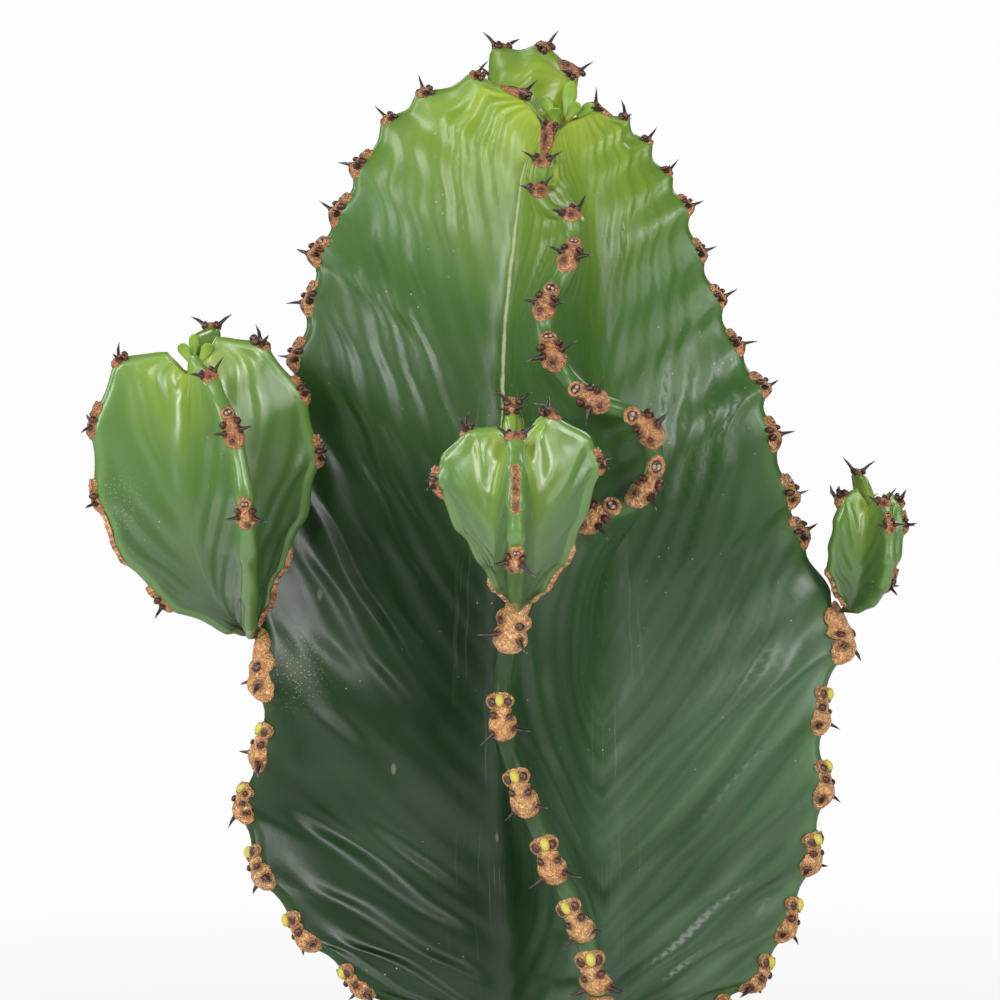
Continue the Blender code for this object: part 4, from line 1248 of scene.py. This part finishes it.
branches = {
    "left": makePlant(leftBranchShape), "front": makePlant(frontBranchShape), "right": makePlant(rightBranchShape),
}
branchFinish = makeSkin("branchSkin")
for side, plant in branches.items():
    piece = wingedBody(side + "Branch", plant)
    piece.data.materials.append(branchFinish)
    settle(piece, "branch_" + side)
print("branches done")

templates = {
    "young": [youngShield(-0.08), youngShield(0.08)],
    "middle": [middleShield(-0.3), middleShield(0.15), middleShield(0.35)],
    "old": [oldShield(-0.5), oldShield(0.1), oldShield(0.6)],
    "seat": [seatShield()],
}
rowFinishes = [makeCork(corkSettings), makeMottled("darkWart"), makeSpineFinish()]
rowFinishes += [makeMottled("yellowBud"), makeMottled("greyEye")]
for number, (node, (rib, first, last)) in enumerate(stemRows.items()):
    shields = [(place, shieldSizes[rib][place]) for place in range(first, last + 1)]
    growRow(node, stem, rib, shields, None, 100 + number, (3.5, 11.5))
for number, (node, (side, rib, shields, strip)) in enumerate(branchRows.items()):
    growRow(node, branches[side], rib, shields, strip, 200 + number, (1.6, 9.0))
print("shields done")

leafFinish = makeMottled("tipLeaf", dryLeaf)
for node, leaf in leaves.items():
    growLeaf(node, *leaf, leafFinish)
print("leaves done")

makePot(potSettings)
soilRadius, soilCrown = makeSoil(soilSettings)
grainDice = random.Random(5)
grainKinds = {
    "stone": [makeGrain(grainDice, (1.0, 0.8, 0.62)) for kind in range(5)],
    "bark": [makeGrain(grainDice, (1.7, 0.75, 0.35)) for kind in range(5)],
}
for name, (kind, amount, sizes, seed, *looks) in soilSettings["grains"].items():
    finish = makeStoneFinish(name, *looks)
    scatterGrains(name, grainKinds[kind], amount, sizes, seed, soilRadius, soilCrown, finish)
print("pot and soil done")

roomSettings = {
    "floor": (0.84, 0.84, 0.85), "white": (0.985, 0.98, 0.985), "ambient": 0.03, "floorRadius": 14.0,
    "fadeStart": 0.35, "fadeEnd": 1.3, "lampAim": (0.0, 0.0, 0.40),
    "aim": (-0.0153, 0.0, 0.446), "elevation": 10.0, "distance": 1.6, "lens": 192.0,
}
# place, width and height in metres, and power in watts
lampSettings = {
    "leftSoftbox": ((-1.34, 0.24, 0.93), (0.5, 0.9), 8.0),
    "leftKey": ((-1.00, -1.00, 0.75), (0.4, 0.6), 9.0),
    "frontLeftSoftbox": ((-0.49, -1.22, 1.04), (0.4, 0.4), 7.5),
    "frontRightSoftbox": ((0.51, -1.26, 0.93), (0.4, 0.4), 8.0),
    "rightSoftbox": ((0.96, -1.07, 0.63), (0.4, 0.8), 4.5),
    "rightKey": ((1.18, -0.68, 0.93), (0.6, 0.6), 4.0),
    "backLeftSoftbox": ((-0.80, 1.10, 1.35), (0.5, 0.8), 7.0),
    "backRightSoftbox": ((0.80, 1.10, 1.35), (0.5, 0.8), 8.0),
}


def makeFloor(values):
    # near the pot it is lit like paper, and further out it turns into the white sweep behind
    deselect()
    below = (0, 0, cadBox[0].z - 0.0004)
    bpy.ops.mesh.primitive_circle_add(vertices=96, radius=values["floorRadius"], fill_type="NGON", location=below)
    floor = bpy.context.object
    floor.name = "studioFloor"
    material, nodes, shader = newMaterial("paleFloor")
    nodes.put(values["floor"], shader.inputs["Base Color"])
    shader.inputs["Roughness"].default_value = 0.9
    flat = nodes.stretch(nodes.place(), (1.0, 1.0, 0.0))
    reach = nodes.add("ShaderNodeVectorMath", {"operation": "LENGTH"}, Vector=flat).outputs["Value"]
    fade = nodes.add("ShaderNodeMapRange", {"interpolation_type": "SMOOTHSTEP"}, Value=reach)
    fade.inputs["From Min"].default_value = values["fadeStart"]
    fade.inputs["From Max"].default_value = values["fadeEnd"]
    rays = nodes.add("ShaderNodeLightPath").outputs["Is Camera Ray"]
    glow = nodes.add("ShaderNodeEmission", Color=values["white"])
    mix = nodes.add("ShaderNodeMixShader", Fac=nodes.times(fade.outputs["Result"], rays))
    nodes.put(shader.outputs[0], mix.inputs[1])
    nodes.put(glow.outputs[0], mix.inputs[2])
    nodes.put(mix.outputs[0], material.node_tree.nodes["Material Output"].inputs["Surface"])
    floor.data.materials.append(material)


def makeSky(values):
    world = bpy.data.worlds.new("studioSky")
    bpy.context.scene.world = world
    world.use_nodes = True
    world.node_tree.nodes.clear()
    nodes = Nodes(world.node_tree)
    soft = nodes.add("ShaderNodeBackground", Color=(1.0, 1.0, 1.0), Strength=values["ambient"])
    seen = nodes.add("ShaderNodeBackground", Color=values["white"])
    mix = nodes.add("ShaderNodeMixShader", Fac=nodes.add("ShaderNodeLightPath").outputs["Is Camera Ray"])
    nodes.put(soft.outputs[0], mix.inputs[1])
    nodes.put(seen.outputs[0], mix.inputs[2])
    nodes.add("ShaderNodeOutputWorld", Surface=mix.outputs[0])


def addSoftbox(name, place, size, power):
    lamp = bpy.data.lights.new(name, "AREA")
    lamp.shape = "RECTANGLE"
    lamp.size, lamp.size_y = size
    lamp.energy = power
    obj = bpy.data.objects.new(name, lamp)
    bpy.context.scene.collection.objects.link(obj)
    obj.location = place
    obj.rotation_euler = (Vector(roomSettings["lampAim"]) - Vector(place)).to_track_quat("-Z", "Y").to_euler()
    obj.visible_camera = False


def makeCamera(values):
    aim = Vector(values["aim"])
    rise = math.radians(values["elevation"])
    data = bpy.data.cameras.new("camera")
    data.lens = values["lens"]
    data.sensor_width = 36.0
    data.clip_start = 0.05
    data.clip_end = 60.0
    camera = bpy.data.objects.new("camera", data)
    bpy.context.scene.collection.objects.link(camera)
    camera.location = aim + Vector((0, -math.cos(rise), math.sin(rise))) * values["distance"]
    camera.rotation_euler = (math.radians(90) - rise, 0, 0)
    bpy.context.scene.camera = camera


makeFloor(roomSettings)
makeSky(roomSettings)
for lampName, lamp in lampSettings.items():
    addSoftbox(lampName, *lamp)
makeCamera(roomSettings)
bpy.context.scene.view_settings.view_transform = "Standard"
print("room done")
